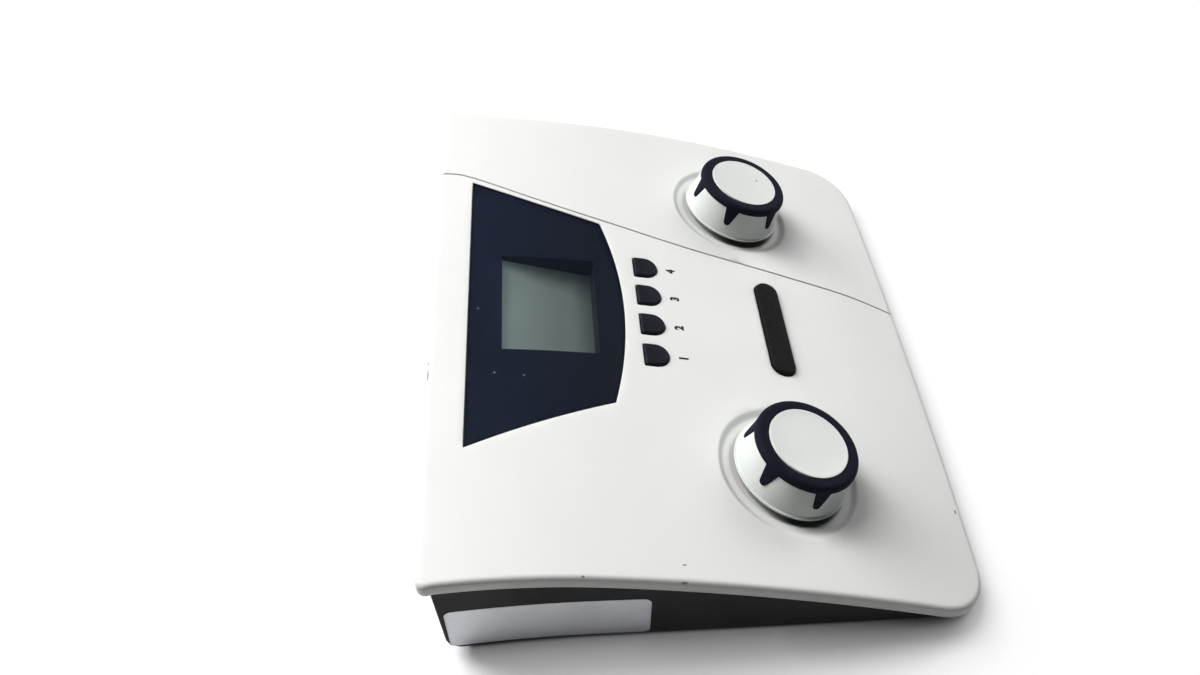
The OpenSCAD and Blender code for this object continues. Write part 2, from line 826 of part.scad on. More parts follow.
// Lower end of the holes that the keys and the bar pass through
key_cut_low = -board_depth / 2;
// Radius of the stem under a key
stem_r = 2.4;
// Size of the cut at a key's rear corners
key_corner = 0.8;
// Thickness of the flange under the cover
key_flange_t = 1;
function key_x(i) = (i - (key_count + 1) / 2) * key_pitch;
// Height of a flange's upper face, just under the cover behind the key
function flange_w(y, length) =
    deck_w(y + length / 2 + key_flange) - top_wall * cos(deck_tilt) - key_gap;

// D-shaped outline: round towards the user and straight at the rear
module key_outline(grow) {
    r = key_w / 2;
    round_y = r - key_l / 2;
    rear_y = key_l / 2 + grow;
    difference() {
        union() {
            translate([0, round_y])
                circle(r = r + grow);
            translate([-r - grow, round_y])
                square([key_w + 2 * grow, rear_y - round_y]);
        }
        translate([-key_w, rear_y])
            square([2 * key_w, key_w]);
        for (s = [-1, 1])
            translate([s * (r + grow), rear_y])
                rotate(45)
                    square(key_corner, center = true);
    }
}
module bar_outline(grow) {
    r = bar_w / 2;
    for (s = [-1, 1])
        translate([s * (bar_l / 2 - r), 0])
            circle(r = r + grow);
    square([bar_l - bar_w, bar_w + 2 * grow], center = true);
}
// Cap whose bevelled top leans with the cover; children are its outline and inner outline
module cap_top(flange_top, surface, lean, proud) {
    hull() {
        translate([0, 0, flange_top - e])
            linear_extrude(e)
                children(0);
        translate([0, 0, surface])
            rotate([lean, 0, 0]) {
                translate([0, 0, proud - key_bevel])
                    linear_extrude(e)
                        children(0);
                translate([0, 0, proud - e])
                    linear_extrude(e)
                        children(1);
            }
    }
}
module function_button(i) {
    top = flange_w(key_row, key_l);
    color([0.07, 0.08, 0.14])
        deck(key_x(i), key_u) {
            cap_top(top, deck_w(key_row), atan(surface_slope(key_row)) - deck_tilt, key_proud) {
                key_outline(0);
                key_outline(-key_bevel);
            }
            translate([0, 0, top - key_flange_t])
                linear_extrude(key_flange_t)
                    key_outline(key_flange);
            rod(stem_r, stem_low(key_travel), top - e);
        }
}
module tone_bar() {
    top = flange_w(-bar_row, bar_w);
    color([0.05, 0.05, 0.05])
        deck(0, bar_u) {
            cap_top(top, deck_w(-bar_row), atan(surface_slope(-bar_row)) - deck_tilt, bar_proud) {
                bar_outline(0);
                bar_outline(-key_bevel);
            }
            translate([0, 0, top - key_flange_t])
                linear_extrude(key_flange_t)
                    bar_outline(key_flange);
            for (s = [-1, 1])
                translate([s * bar_switch_spacing / 2, 0, 0])
                    rod(stem_r, stem_low(bar_travel), top - e);
        }
}

/* Knobs */
// Chamfer of the knob's flange and top disc
knob_chamfer = 0.3;
skirt_low = knob_gap + knob_flange_h;
// How far the collar's top lies below the knob's top
collar_drop = 0.2;
collar_low = knob_h - collar_h - collar_drop;
// Width of the soft rim around the top disc
collar_rim_w = 2.6;
collar_top_r = cap_r + collar_rim_w;
spigot_h = knob_h - cap_t;
// Thickness of the skirt's web under the top disc
web_t = 2;
// How far the top disc overlaps the collar
cap_lap = 0.6;
inner_cap_r = cap_r - cap_lap;
// Height of the collar's straight side
collar_side_h = 1;
// How far the collar's inner edge lies below the top disc
cap_step = 0.4;
function skirt_r(h) =
    skirt_bottom_r + (skirt_top_r - skirt_bottom_r) * (h - skirt_low) / (collar_low - skirt_low);

module knob_skirt(x) {
    color([0.86, 0.87, 0.85])
        deck(x)
            rotate_extrude()
                polygon([
                    [shaft_r + seat, knob_gap],
                    [shaft_r + hub_wall, knob_gap],
                    [shaft_r + hub_wall, collar_low - web_t],
                    [skirt_top_r - skirt_wall, collar_low - web_t],
                    [skirt_bottom_r - skirt_wall, knob_gap],
                    [knob_flange_r, knob_gap],
                    [knob_flange_r, skirt_low - knob_chamfer],
                    [knob_flange_r - knob_chamfer, skirt_low],
                    [skirt_bottom_r, skirt_low],
                    [skirt_top_r, collar_low],
                    [inner_cap_r, collar_low],
                    [inner_cap_r, spigot_h],
                    [shaft_r + seat, spigot_h]]);
}
// Outline of a grip finger that tapers down from the ring's underside at y = 0
module finger_outline() {
    tip_r = finger_tip_w / 2;
    tip_y = tip_r - finger_l;
    root_half = finger_root_w / 2;
    // Half width where the straight sides meet the round tip, a little inside its widest place
    side_half = 0.96 * tip_r;
    // Half width where the sides, drawn on upwards, end inside the ring
    top_half = root_half + (root_half - side_half) * reach / -tip_y;
    translate([0, tip_y])
        circle(r = tip_r);
    polygon([
        [-side_half, tip_y],
        [side_half, tip_y],
        [top_half, reach],
        [-top_half, reach]]);
}
// Soft ring with grip fingers that lie on the skirt
module knob_collar(x, turn) {
    outer = skirt_top_r + collar_proud;
    tip_h = collar_low - finger_l;
    ring_low = collar_low + seat;
    color([0.07, 0.08, 0.14])
        deck(x)
            rotate(turn)
                difference() {
                    rotate_extrude()
                        polygon(concat(
                            [[skirt_r(tip_h) + seat, tip_h],
                                [skirt_r(tip_h) + collar_proud, tip_h],
                                [outer, ring_low]],
                            [for (i = [0:edge_steps]) let (a = 90 * i / edge_steps)
                                [collar_top_r + (outer - collar_top_r) * cos(a),
                                 collar_low + collar_side_h + (collar_h - collar_side_h) * sin(a)]],
                            [[cap_r + seat, knob_h - cap_step],
                                [cap_r + seat, spigot_h],
                                [inner_cap_r + seat, spigot_h],
                                [inner_cap_r + seat, ring_low],
                                [skirt_top_r + seat, ring_low]]));
                    difference() {
                        rod(skirt_bottom_r + reach, tip_h - reach, ring_low);
                        for (i = [0:finger_count - 1])
                            rotate(360 / finger_count * i)
                                translate([0, 0, ring_low])
                                    rotate([90, 0, 90])
                                        linear_extrude(skirt_bottom_r + 2 * reach)
                                            finger_outline();
                    }
                }
}
module knob_cap(x) {
    color([0.86, 0.87, 0.85])
        deck(x)
            rotate_extrude()
                polygon(concat(
                    [[0, spigot_h + seat], [cap_r, spigot_h + seat], [cap_r, knob_h - knob_chamfer]],
                    [for (i = [0:curve_steps]) let (r = (cap_r - knob_chamfer) * (1 - i / curve_steps))
                        [r, knob_h - cap_hollow * (1 - (r / (cap_r - knob_chamfer))^2)]]));
}
module knob_shaft(x) {
    color("silver")
        deck(x)
            rod(shaft_r, shaft_low, spigot_h);
}

/* Sockets, power switch and ribbon */
// Power inlet: radius of its nose, width and length of its body, depth of its bore
dc_nose_r = 4.4;
dc_body_w = 9.6;
dc_body_l = 12;
dc_depth = 9;
// How far its pin ends behind the panel
dc_pin_sink = 1;
dc_z = audio_top + dc_body_w / 2;
// Power switch: width, height and length of its body, thickness of its frame
switch_body_w = 20.4;
switch_body_h = 12.4;
switch_body_l = 17;
frame_t = 1.5;

module phone_jack(i) {
    color([0.15, 0.15, 0.16])
        translate([jack_xs[i], 0, jack_z])
            difference() {
                union() {
                    slab_y(jack_body_w, jack_body_h, panel_inner_y - seat - jack_body_l, panel_inner_y - seat);
                    rod_y(jack_nose_r, panel_inner_y - seat - e, panel_y + jack_nose_l);
                }
                rod_y(jack_bore_r, panel_inner_y - jack_body_l + reach, panel_y + jack_nose_l + reach);
            }
}
module jack_nuts() {
    color("silver")
        for (x = jack_xs)
            translate([x, 0, jack_z])
                difference() {
                    rod_y(jack_nut_r, panel_y + seat, panel_y + seat + jack_nut_t);
                    rod_y(jack_nose_r + seat, panel_y - reach, half_d);
                }
}
module dc_inlet() {
    bottom = panel_y - dc_depth;
    color([0.15, 0.15, 0.16])
        translate([dc_x, 0, dc_z]) {
            difference() {
                union() {
                    slab_y(dc_body_w, dc_body_w, panel_inner_y - seat - dc_body_l, panel_inner_y - seat);
                    rod_y(dc_nose_r, panel_inner_y - seat - e, panel_y);
                }
                rod_y(dc_bore_r, bottom, half_d);
            }
            rod_y(dc_pin_r, bottom - e, panel_y - dc_pin_sink);
        }
}

// Rocker: radius of its swing, width, and radius of its pin
rocker_r = 9;
rocker_w = 9.8;
rocker_pin_r = 1.2;
// Gaps beside the rocker and at its pin's ends
rocker_side_gap = 0.3;
rocker_pin_gap = 0.1;
// Wall of the switch body beyond the pin
pin_wall = 0.3;
// Depth of the pin behind the frame's face
rocker_sink = 3.7;
rocker_y = panel_y + frame_t - rocker_sink;
// Rocker's depth behind its pin, and the well's depth there
rocker_low = 2.5;
rocker_well = 5;
// Place of the rocker's raised ends, and how far its middle dips
rocker_end_x = 7.9;
rocker_end_y = 4.2;
rocker_dip = 1;
rocker_rise = 0.2;
module power_switch_frame() {
    color([0.12, 0.12, 0.13])
        translate([switch_x, 0, switch_z])
            difference() {
                union() {
                    slab_y(switch_frame_w, switch_frame_h, panel_y + seat, panel_y + frame_t);
                    slab_y(switch_body_w, switch_body_h, panel_inner_y - switch_body_l, panel_y + seat + e);
                }
                slab_y(2 * (rocker_r + rocker_side_gap), rocker_w + 2 * rocker_side_gap,
                    rocker_y - rocker_well, half_d);
                translate([0, rocker_y, 0])
                    rod(rocker_pin_r + running, pin_wall - switch_body_h / 2, switch_body_h / 2 - pin_wall);
            }
}
module power_rocker() {
    pin_end = switch_body_h / 2 - pin_wall - rocker_pin_gap;
    color([0.05, 0.05, 0.06])
        translate([switch_x, rocker_y, switch_z])
            rotate([0, 0, -rocker_tilt]) {
                translate([0, 0, -rocker_w / 2])
                    linear_extrude(rocker_w)
                        intersection() {
                            circle(r = rocker_r);
                            polygon([
                                [-rocker_r, -rocker_low],
                                [rocker_r, -rocker_low],
                                [rocker_r, rocker_end_y + rocker_rise],
                                [rocker_end_x, rocker_end_y],
                                [0, rocker_end_y - rocker_dip],
                                [-rocker_end_x, rocker_end_y],
                                [-rocker_r, rocker_end_y + rocker_rise]]);
                        }
                rod(rocker_pin_r, -pin_end, pin_end);
            }
}

// Ribbon headers: height, length, and how far they stand out beside the cable
header_h = 6;
header_l = 6;
header_lap = 2;
// Places of the two headers, and how far the cable runs straight out of them
ribbon_u = 70;
ribbon_y = 34;
ribbon_stiffness = 8;
// Point on a cubic curve with two end tangents
function bezier(p, t) =
    p[0] * (1 - t)^3 + 3 * p[1] * t * (1 - t)^2 + 3 * p[2] * t^2 * (1 - t) + p[3] * t^3;
module ribbon_cable() {
    under = board_under - header_h;
    down = [sin(deck_tilt), -cos(deck_tilt)];
    start = [deck_y + ribbon_u * cos(deck_tilt) - under * sin(deck_tilt),
        deck_z + ribbon_u * sin(deck_tilt) + under * cos(deck_tilt)] + down * (2 * seat);
    end = [ribbon_y, audio_top + header_h + 2 * seat];
    ctrl = [start, start + down * ribbon_stiffness, end + [0, ribbon_stiffness], end];
    path = [for (i = [0:curve_steps]) bezier(ctrl, i / curve_steps)];
    color("lightgray")
        rotate([90, 0, 90])
            translate([0, 0, -ribbon_w / 2])
                linear_extrude(ribbon_w)
                    polygon(band(path, ribbon_t));
}
module ribbon_headers() {
    color([0.1, 0.1, 0.1]) {
        deck(0, ribbon_u)
            slab(ribbon_w + 2 * header_lap, header_l, board_under - header_h, board_under);
        translate([0, ribbon_y, 0])
            slab(ribbon_w + 2 * header_lap, header_l, audio_top, audio_top + header_h);
    }
}
// Chips: places along the board, distance in front of its middle, and size
chip_xs = [-58, -32, 36];
chip_row = 16;
chip_w = 14;
chip_l = 10;
chip_h = 2;
module audio_chips() {
    color([0.08, 0.08, 0.08])
        for (x = chip_xs)
            translate([x, audio_y - chip_row, 0])
                slab(chip_w, chip_l, audio_top, audio_top + chip_h);
}
// Capacitors: places along the board, distance behind its middle, and size
capacitor_xs = [24, 58];
capacitor_row = 2;
capacitor_r = 4;
capacitor_h = 11;
module capacitors() {
    color([0.2, 0.25, 0.4])
        for (x = capacitor_xs)
            translate([x, audio_y + capacitor_row, 0])
                rod(capacitor_r, audio_top, audio_top + capacitor_h);
}

top_cover();
base_tray();
display_window();
display_mask();
lcd_glass();
lcd_bezel();
control_board();
audio_board();
encoder(knob_xs[0]);  // level_encoder
encoder(knob_xs[1]);  // frequency_encoder
push_switch(-bar_switch_spacing / 2, bar_u, bar_travel);  // tone_switch_left
push_switch(bar_switch_spacing / 2, bar_u, bar_travel);  // tone_switch_right
phone_jack(0);  // left_phone_jack
phone_jack(1);  // right_phone_jack
phone_jack(2);  // response_jack
jack_nuts();
dc_inlet();
power_switch_frame();
power_rocker();
ribbon_cable();
ribbon_headers();
audio_chips();
capacitors();
cover_screws();
control_screws();
audio_screws();
foot(0);  // front_left_foot
foot(1);  // front_right_foot
foot(2);  // rear_left_foot
foot(3);  // rear_right_foot
knob_skirt(knob_xs[0]);  // level_knob_skirt
knob_collar(knob_xs[0], level_knob_turn);  // level_knob_collar
knob_cap(knob_xs[0]);  // level_knob_cap
knob_shaft(knob_xs[0]);  // level_shaft
knob_skirt(knob_xs[1]);  // frequency_knob_skirt
knob_collar(knob_xs[1], frequency_knob_turn);  // frequency_knob_collar
knob_cap(knob_xs[1]);  // frequency_knob_cap
knob_shaft(knob_xs[1]);  // frequency_shaft
for (i = [1:key_count]) {
    push_switch(key_x(i), key_u, key_travel);
    function_button(i);
    plunger(key_x(i), key_u, key_travel);
}
tone_bar();
plunger(-bar_switch_spacing / 2, bar_u, bar_travel);  // tone_plunger_left
plunger(bar_switch_spacing / 2, bar_u, bar_travel);  // tone_plunger_right
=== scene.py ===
"""Looks of a two-knob audiometer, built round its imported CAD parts.

Shapes are written in millimetres and turned into metres when a mesh is made. +X is the user's
right, +Y the rear and +Z up.
"""

import math

import bmesh
import bpy
import numpy as np
from mathutils import Matrix, Vector
from mathutils.geometry import delaunay_2d_cdt


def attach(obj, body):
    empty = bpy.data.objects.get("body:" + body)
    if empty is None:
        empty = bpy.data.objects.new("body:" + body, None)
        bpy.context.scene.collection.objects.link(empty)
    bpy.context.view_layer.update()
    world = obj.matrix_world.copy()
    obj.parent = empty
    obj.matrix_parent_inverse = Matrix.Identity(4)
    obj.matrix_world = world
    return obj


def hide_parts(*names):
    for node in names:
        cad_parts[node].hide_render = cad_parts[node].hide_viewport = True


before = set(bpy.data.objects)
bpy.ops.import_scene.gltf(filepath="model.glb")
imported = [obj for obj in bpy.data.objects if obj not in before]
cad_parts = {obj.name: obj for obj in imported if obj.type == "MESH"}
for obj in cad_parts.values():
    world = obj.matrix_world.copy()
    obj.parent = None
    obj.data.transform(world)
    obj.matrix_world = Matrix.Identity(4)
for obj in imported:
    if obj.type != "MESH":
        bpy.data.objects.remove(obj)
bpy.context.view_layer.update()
MM = 0.001

# ---------------------------------------------------------------- sizes, as in the CAD
HALF_W, HALF_D, DEPTH = 112.5, 92.0, 184.0
FRONT_H, REAR_H = 7.2, 49.3
FRONT_SLOPE = math.tan(math.radians(21.2))
REAR_SLOPE = math.tan(math.radians(1.4))
REAR_FLARE, FLARE_LENGTH = 2.8, 55.0
FRONT_BOW, REAR_BOW = 2.4, 0.8
FRONT_CORNER_R, REAR_CORNER_R = 18.0, 3.0
EDGE_R, LIP_H, LIP_WALL, RIM_CHAMFER = 1.6, 5.2, 2.8, 0.4
TOP_WALL = 2.5
GROOVE_W, GROOVE_DEPTH = 0.7, 0.6
OPENING_EDGE_R, OPENING_DEPTH, RECESS_DEPTH = 0.35, 2.6, 1.6
TRAY_INSET, TRAY_SIDE_DROP = 3.0, 4.2
# Heights and insets of the tray's left wall along its rounded lower edge
TRAY_LOW_Z, TRAY_LOW_INSET = (1.2, 2.2, 4.95, 8.7), (4.6, 4.0, 3.56, 3.4)

WINDOW_REAR_Y, WINDOW_FRONT_Y = 78.7, 28.9
WINDOW_REAR_HALF, WINDOW_FRONT_HALF = 66.2, 45.5
WINDOW_FRONT_BOW, WINDOW_SIDE_BOW = 6.3, 0.75
WINDOW_GAP, WINDOW_BEVEL, RECESS_DROP = 0.15, 0.3, 1.35
LENS_T, MASK_T = 1.0, 0.2
VIEW_W, VIEW_L, VIEW_Y, VIEW_BORDER = 47.2, 34.0, 49.5, 2.0
SHROUD_END, SHROUD_LAP, DARK_EDGE_W = 12.95, 0.9, 0.42

KNOB_X = 66.9
KNOB_GAP, KNOB_H = 0.8, 15.8
FLANGE_R, SKIRT_LOW, SKIRT_BOTTOM_R, SKIRT_TOP_R = 20.3, 1.8, 19.6, 17.8
COLLAR_LOW, COLLAR_PROUD, COLLAR_TOP_R, COLLAR_SIDE_H, COLLAR_H = 12.8, 0.35, 16.4, 1.0, 2.8
FINGER_ROOT_W, FINGER_TIP_W, FINGER_L, FINGER_MEAN_R, FINGERS = 5.8, 2.8, 7.0, 18.4, 6
CAP_R, CAP_T, CAP_HOLLOW = 13.8, 1.4, 0.3
LEVEL_TURN, FREQUENCY_TURN = 8.0, 38.0
BORE_R, HUB_R, SPIGOT_R = 3.1, 6.0, 13.2
HOLLOW_H, HOLLOW_TOP_R, HOLLOW_R = 10.4, 16.0, 17.8
WELL_R, WELL_DEPTH, WELL_SLOPE_W = 26.0, 1.5, 2.6
BUSHING_HOLE_R = 3.7

KEY_PITCH, KEY_Y, KEY_W, KEY_L, KEY_PROUD, KEY_DOME = 15.0, 12.5, 9.8, 9.0, 0.9, 0.1
BAR_Y, BAR_L, BAR_W, BAR_PROUD, BAR_DOME = -35.3, 47.2, 9.2, 1.5, 0.12
KEY_GAP, KEY_FLANGE, KEY_FLANGE_T, KEY_CORNER, KEY_BEVEL = 0.3, 1.1, 1.0, 0.8, 0.7
DIGIT_Y, DIGIT_H, DIGIT_WIDTH, DIGIT_BOLD, PRINT_LIFT = 2.7, 3.6, 0.92, 0.06, 0.02
STICKER_REAR, STICKER_FRONT, STICKER_LOW, STICKER_HIGH, STICKER_CORNER = 85.2, 21.6, 3.1, 26.1, 2.6

DECK_Y = -28.0


# ---------------------------------------------------------------- housing surface
def surface_z(y):
    """Height of the cover's top surface."""
    t = (y + HALF_D) / DEPTH
    return (
        FRONT_H * (2 * t**3 - 3 * t**2 + 1)
        + REAR_H * (3 * t**2 - 2 * t**3)
        + DEPTH * FRONT_SLOPE * (t**3 - 2 * t**2 + t)
        + DEPTH * REAR_SLOPE * (t**3 - t**2)
    )


def surface_slope(y):
    t = (y + HALF_D) / DEPTH
    return (
        6 * (REAR_H - FRONT_H) / DEPTH * (t - t**2)
        + FRONT_SLOPE * (3 * t**2 - 4 * t + 1)
        + REAR_SLOPE * (3 * t**2 - 2 * t)
    )


DECK_Z = surface_z(DECK_Y)
DECK_TILT = math.atan(surface_slope(DECK_Y))
COS, SIN = math.cos(DECK_TILT), math.sin(DECK_TILT)


def side_x(y, inset):
    start = HALF_D - REAR_BOW - FLARE_LENGTH
    return HALF_W - inset + REAR_FLARE * (max(0.0, y - start) / FLARE_LENGTH) ** 2


def front_y(x, inset):
    return -HALF_D + inset + FRONT_BOW * (x / HALF_W) ** 2


def rear_y(x, inset):
    return HALF_D - inset - REAR_BOW * (x / HALF_W) ** 2


def outline(inset):
    """The cover's plan outline moved inwards by inset, counter-clockwise from the front apex."""
    corner_x = HALF_W - FRONT_CORNER_R
    corner_y = -HALF_D + FRONT_BOW * (corner_x / HALF_W) ** 2 + FRONT_CORNER_R
    r = FRONT_CORNER_R - inset
    rear_r = max(REAR_CORNER_R - inset, 0.3)
    rear_cx = side_x(rear_y(HALF_W, inset), inset) - rear_r
    rear_cy = rear_y(HALF_W, inset) - rear_r
    right = [(x, front_y(x, inset)) for x in np.linspace(0, corner_x, 40, endpoint=False)]
    for a in np.radians(np.linspace(-90, 0, 25)):
        right.append((corner_x + r * math.cos(a), corner_y + r * math.sin(a)))
    for y in np.linspace(corner_y, rear_cy, 72)[1:-1]:
        right.append((side_x(y, inset), y))
    for a in np.radians(np.linspace(0, 90, 11)):
        right.append((rear_cx + rear_r * math.cos(a), rear_cy + rear_r * math.sin(a)))
    for x in np.linspace(rear_cx, 0, 40)[1:]:
        right.append((x, rear_y(x, inset)))
    right = np.array(right)
    left = right[1:-1][::-1] * (-1, 1)
    return np.vstack([right, left])


def deck_matrix(x=0.0, u=0.0):
    """Frame of the knob plane: u runs uphill and w stands square to the plane."""
    return (
        Matrix.Translation((0, DECK_Y, DECK_Z))
        @ Matrix.Rotation(DECK_TILT, 4, "X")
        @ Matrix.Translation((x, u, 0))
    )


def deck_u(y):
    return (y - DECK_Y) * COS + (surface_z(y) - DECK_Z) * SIN


def deck_w(y):
    return (surface_z(y) - DECK_Z) * COS - (y - DECK_Y) * SIN


def plan_of(points, drop=0.0):
    """Plan places of knob-plane points (x, u), carried square to the plane onto the surface less drop."""
    points = np.asarray(points, float)
    y = DECK_Y + points[:, 1] * COS
    for _ in range(8):
        w = (surface_z(y) - drop - DECK_Z) * COS - (y - DECK_Y) * SIN
        y = DECK_Y + points[:, 1] * COS - w * SIN
    return np.column_stack([points[:, 0], y])


# ---------------------------------------------------------------- mesh helpers
def distance(points, line, closed=True):
    """Distance of each point from a line, with the nearest segment and the place on it."""
    a = np.asarray(line, float)
    b = np.roll(a, -1, 0) if closed else a[1:]
    a = a if closed else a[:-1]
    d = b - a
    best = np.full(len(points), 1e9)
    seg = np.zeros(len(points), int)
    along = np.zeros(len(points))
    for i in range(0, len(points), 3000):
        p = points[i : i + 3000, None, :]
        t = np.clip(((p - a) * d).sum(2) / (d * d).sum(1), 0, 1)
        dist = np.linalg.norm(p - (a + d * t[..., None]), axis=2)
        k = dist.argmin(1)
        rows = np.arange(len(k))
        best[i : i + 3000], seg[i : i + 3000], along[i : i + 3000] = dist[rows, k], k, t[rows, k]
    return best, seg, along


def inside(points, loop):
    a = np.asarray(loop, float)
    b = np.roll(a, -1, 0)
    odd = np.zeros(len(points), bool)
    for i in range(0, len(points), 4000):
        x, y = points[i : i + 4000, 0, None], points[i : i + 4000, 1, None]
        span = (a[:, 1] > y) != (b[:, 1] > y)
        with np.errstate(divide="ignore", invalid="ignore"):
            cross = x < (b[:, 0] - a[:, 0]) * (y - a[:, 1]) / (b[:, 1] - a[:, 1]) + a[:, 0]
        odd[i : i + 4000] = (span & cross).sum(1) % 2 == 1
    return odd


def triangulate(closed, opened, points, outer, holes):
    """Triangles inside outer and outside holes, with every given line kept as edges."""
    coords, edges = [], []
    for line, is_closed in [(c, True) for c in closed] + [(o, False) for o in opened]:
        base, n = len(coords), len(line)
        coords += [Vector((float(x), float(y))) for x, y in line]
        edges += [(base + i, base + (i + 1) % n) for i in range(n if is_closed else n - 1)]
    coords += [Vector((float(x), float(y))) for x, y in points]
    verts, _, faces, *_ = delaunay_2d_cdt(coords, edges, [], 0, 1e-4)
    verts, faces = np.array([v[:] for v in verts]), np.array(faces)
    centre = verts[faces].mean(1)
    keep = inside(centre, outer)
    for hole in holes:
        keep &= ~inside(centre, hole)
    faces = faces[keep]
    used, index = np.unique(faces, return_inverse=True)
    return verts[used], index.reshape(-1, 3)


def rounding(d, r):
    """Drop of a rounded edge of radius r at distance d from it."""
    return np.where(d < r, r - np.sqrt(np.maximum(r**2 - (r - np.minimum(d, r)) ** 2, 0)), 0)


def smooth_min(a, b, k):
    h = np.maximum(k - np.abs(a - b), 0) / k
    return np.minimum(a, b) - h * h * k / 4


def smooth_max(a, b, k):
    return -smooth_min(-a, -b, k)


def open_edges(faces):
    """Directed edges that only one face uses."""
    seen = {}
    for f in faces:
        for i in range(len(f)):
            seen[(f[i], f[(i + 1) % len(f)])] = True
    return [e for e in seen if (e[1], e[0]) not in seen]


def make(name, verts, faces, material, body, replaces=(), sharp=35, weld=0.0):
    """A piece from points in millimetres, smooth apart from edges sharper than sharp degrees."""
    mesh = bpy.data.meshes.new(name)
    points = [tuple(float(c) * MM for c in v) for v in verts]
    mesh.from_pydata(points, [], [tuple(map(int, f)) for f in faces])
    if weld:
        bm = bmesh.new()
        bm.from_mesh(mesh)
        bmesh.ops.remove_doubles(bm, verts=bm.verts, dist=weld * MM)
        bmesh.ops.dissolve_degenerate(bm, edges=bm.edges, dist=weld * MM)
        bmesh.ops.recalc_face_normals(bm, faces=bm.faces)
        bm.to_mesh(mesh)
        bm.free()
    mesh.shade_smooth()
    mesh.set_sharp_from_angle(angle=math.radians(sharp))
    mesh.materials.append(material)
    obj = bpy.data.objects.new(name, mesh)
    bpy.context.scene.collection.objects.link(obj)
    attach(obj, body)
    if replaces:
        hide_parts(*replaces)
    return obj


def shade(obj, name, values):
    """Keeps a shade for each vertex, which a material reads."""
    layer = obj.data.attributes.new(name, "FLOAT", "POINT")
    layer.data.foreach_set("value", np.asarray(values, np.float32))


def placed(verts, matrix):
    return [matrix @ Vector(v) for v in verts]


def skin(rings):
    """Faces between rings of equal length."""
    n = len(rings[0])
    verts = [p for ring in rings for p in ring]
    faces = []
    for k in range(len(rings) - 1):
        for i in range(n):
            a, b = k * n + i, k * n + (i + 1) % n
            faces.append((a, b, b + n, a + n))
    return verts, faces


def revolve(profile, steps=160):
    """Solid of revolution of a profile of radius and height."""
    angles = np.linspace(0, 2 * math.pi, steps, endpoint=False)
    return skin([[(r * math.cos(a), r * math.sin(a), h) for a in angles] for r, h in profile])


def filleted(points, radii, steps=5):
    """A line whose corners are rounded off."""
    out = []
    for i, (p, r) in enumerate(zip(points, radii)):
        p = np.array(p, float)
        if r <= 0 or i in (0, len(points) - 1):
            out.append(tuple(p))
            continue
        a, b = np.array(points[i - 1]) - p, np.array(points[i + 1]) - p
        la, lb = np.linalg.norm(a), np.linalg.norm(b)
        cut = min(r, 0.45 * la, 0.45 * lb)
        start, end = p + a / la * cut, p + b / lb * cut
        for t in np.linspace(0, 1, steps):
            out.append(tuple((1 - t) ** 2 * start + 2 * t * (1 - t) * p + t**2 * end))
    return out


def plate(name, loop, insets, height, low, holes, material, replaces):
    """A sheet over a plan loop: height gives its top and low its underside."""
    grid = field_points(loop, 4.0, 3.0, max(insets) + 0.4)
    rings = [shrunk(loop, i) for i in insets]
    verts, faces = triangulate(rings + list(holes), [], grid, loop, holes)
    n = len(verts)
    points = [(x, y, z) for level in (height, low) for (x, y), z in zip(verts, level(verts))]
    all_faces = [tuple(f) for f in faces] + [(f[0] + n, f[2] + n, f[1] + n) for f in faces]
    all_faces += [(b, a, a + n, b + n) for a, b in open_edges([tuple(f) for f in faces])]
    return make(name, points, all_faces, material, "housing", replaces, weld=0.0005)


def field_points(loop, dx, dy, margin):
    """A staggered grid of points inside a loop, clear of its edge."""
    lo, hi = np.min(loop, 0), np.max(loop, 0)
    rows = []
    for k, y in enumerate(np.arange(lo[1] + dy / 2, hi[1], dy)):
        xs = np.arange(lo[0] + (dx / 2 if k % 2 else 0), hi[0], dx)
        rows.append(np.column_stack([xs, np.full(len(xs), y)]))
    points = np.vstack(rows)
    points = points[inside(points, loop)]
    return points[distance(points, loop)[0] > margin]


def shrunk(loop, inset):
    """A counter-clockwise loop moved inwards."""
    loop = np.asarray(loop, float)
    if inset == 0:
        return loop
    a, b = np.roll(loop, 1, 0), np.roll(loop, -1, 0)
    n1 = np.column_stack([-(loop - a)[:, 1], (loop - a)[:, 0]])
    n2 = np.column_stack([-(b - loop)[:, 1], (b - loop)[:, 0]])
    n1 /= np.linalg.norm(n1, axis=1)[:, None]
    n2 /= np.linalg.norm(n2, axis=1)[:, None]
    n = n1 + n2
    n /= np.maximum((n * n1).sum(1), 0.3)[:, None]
    return loop + n * inset


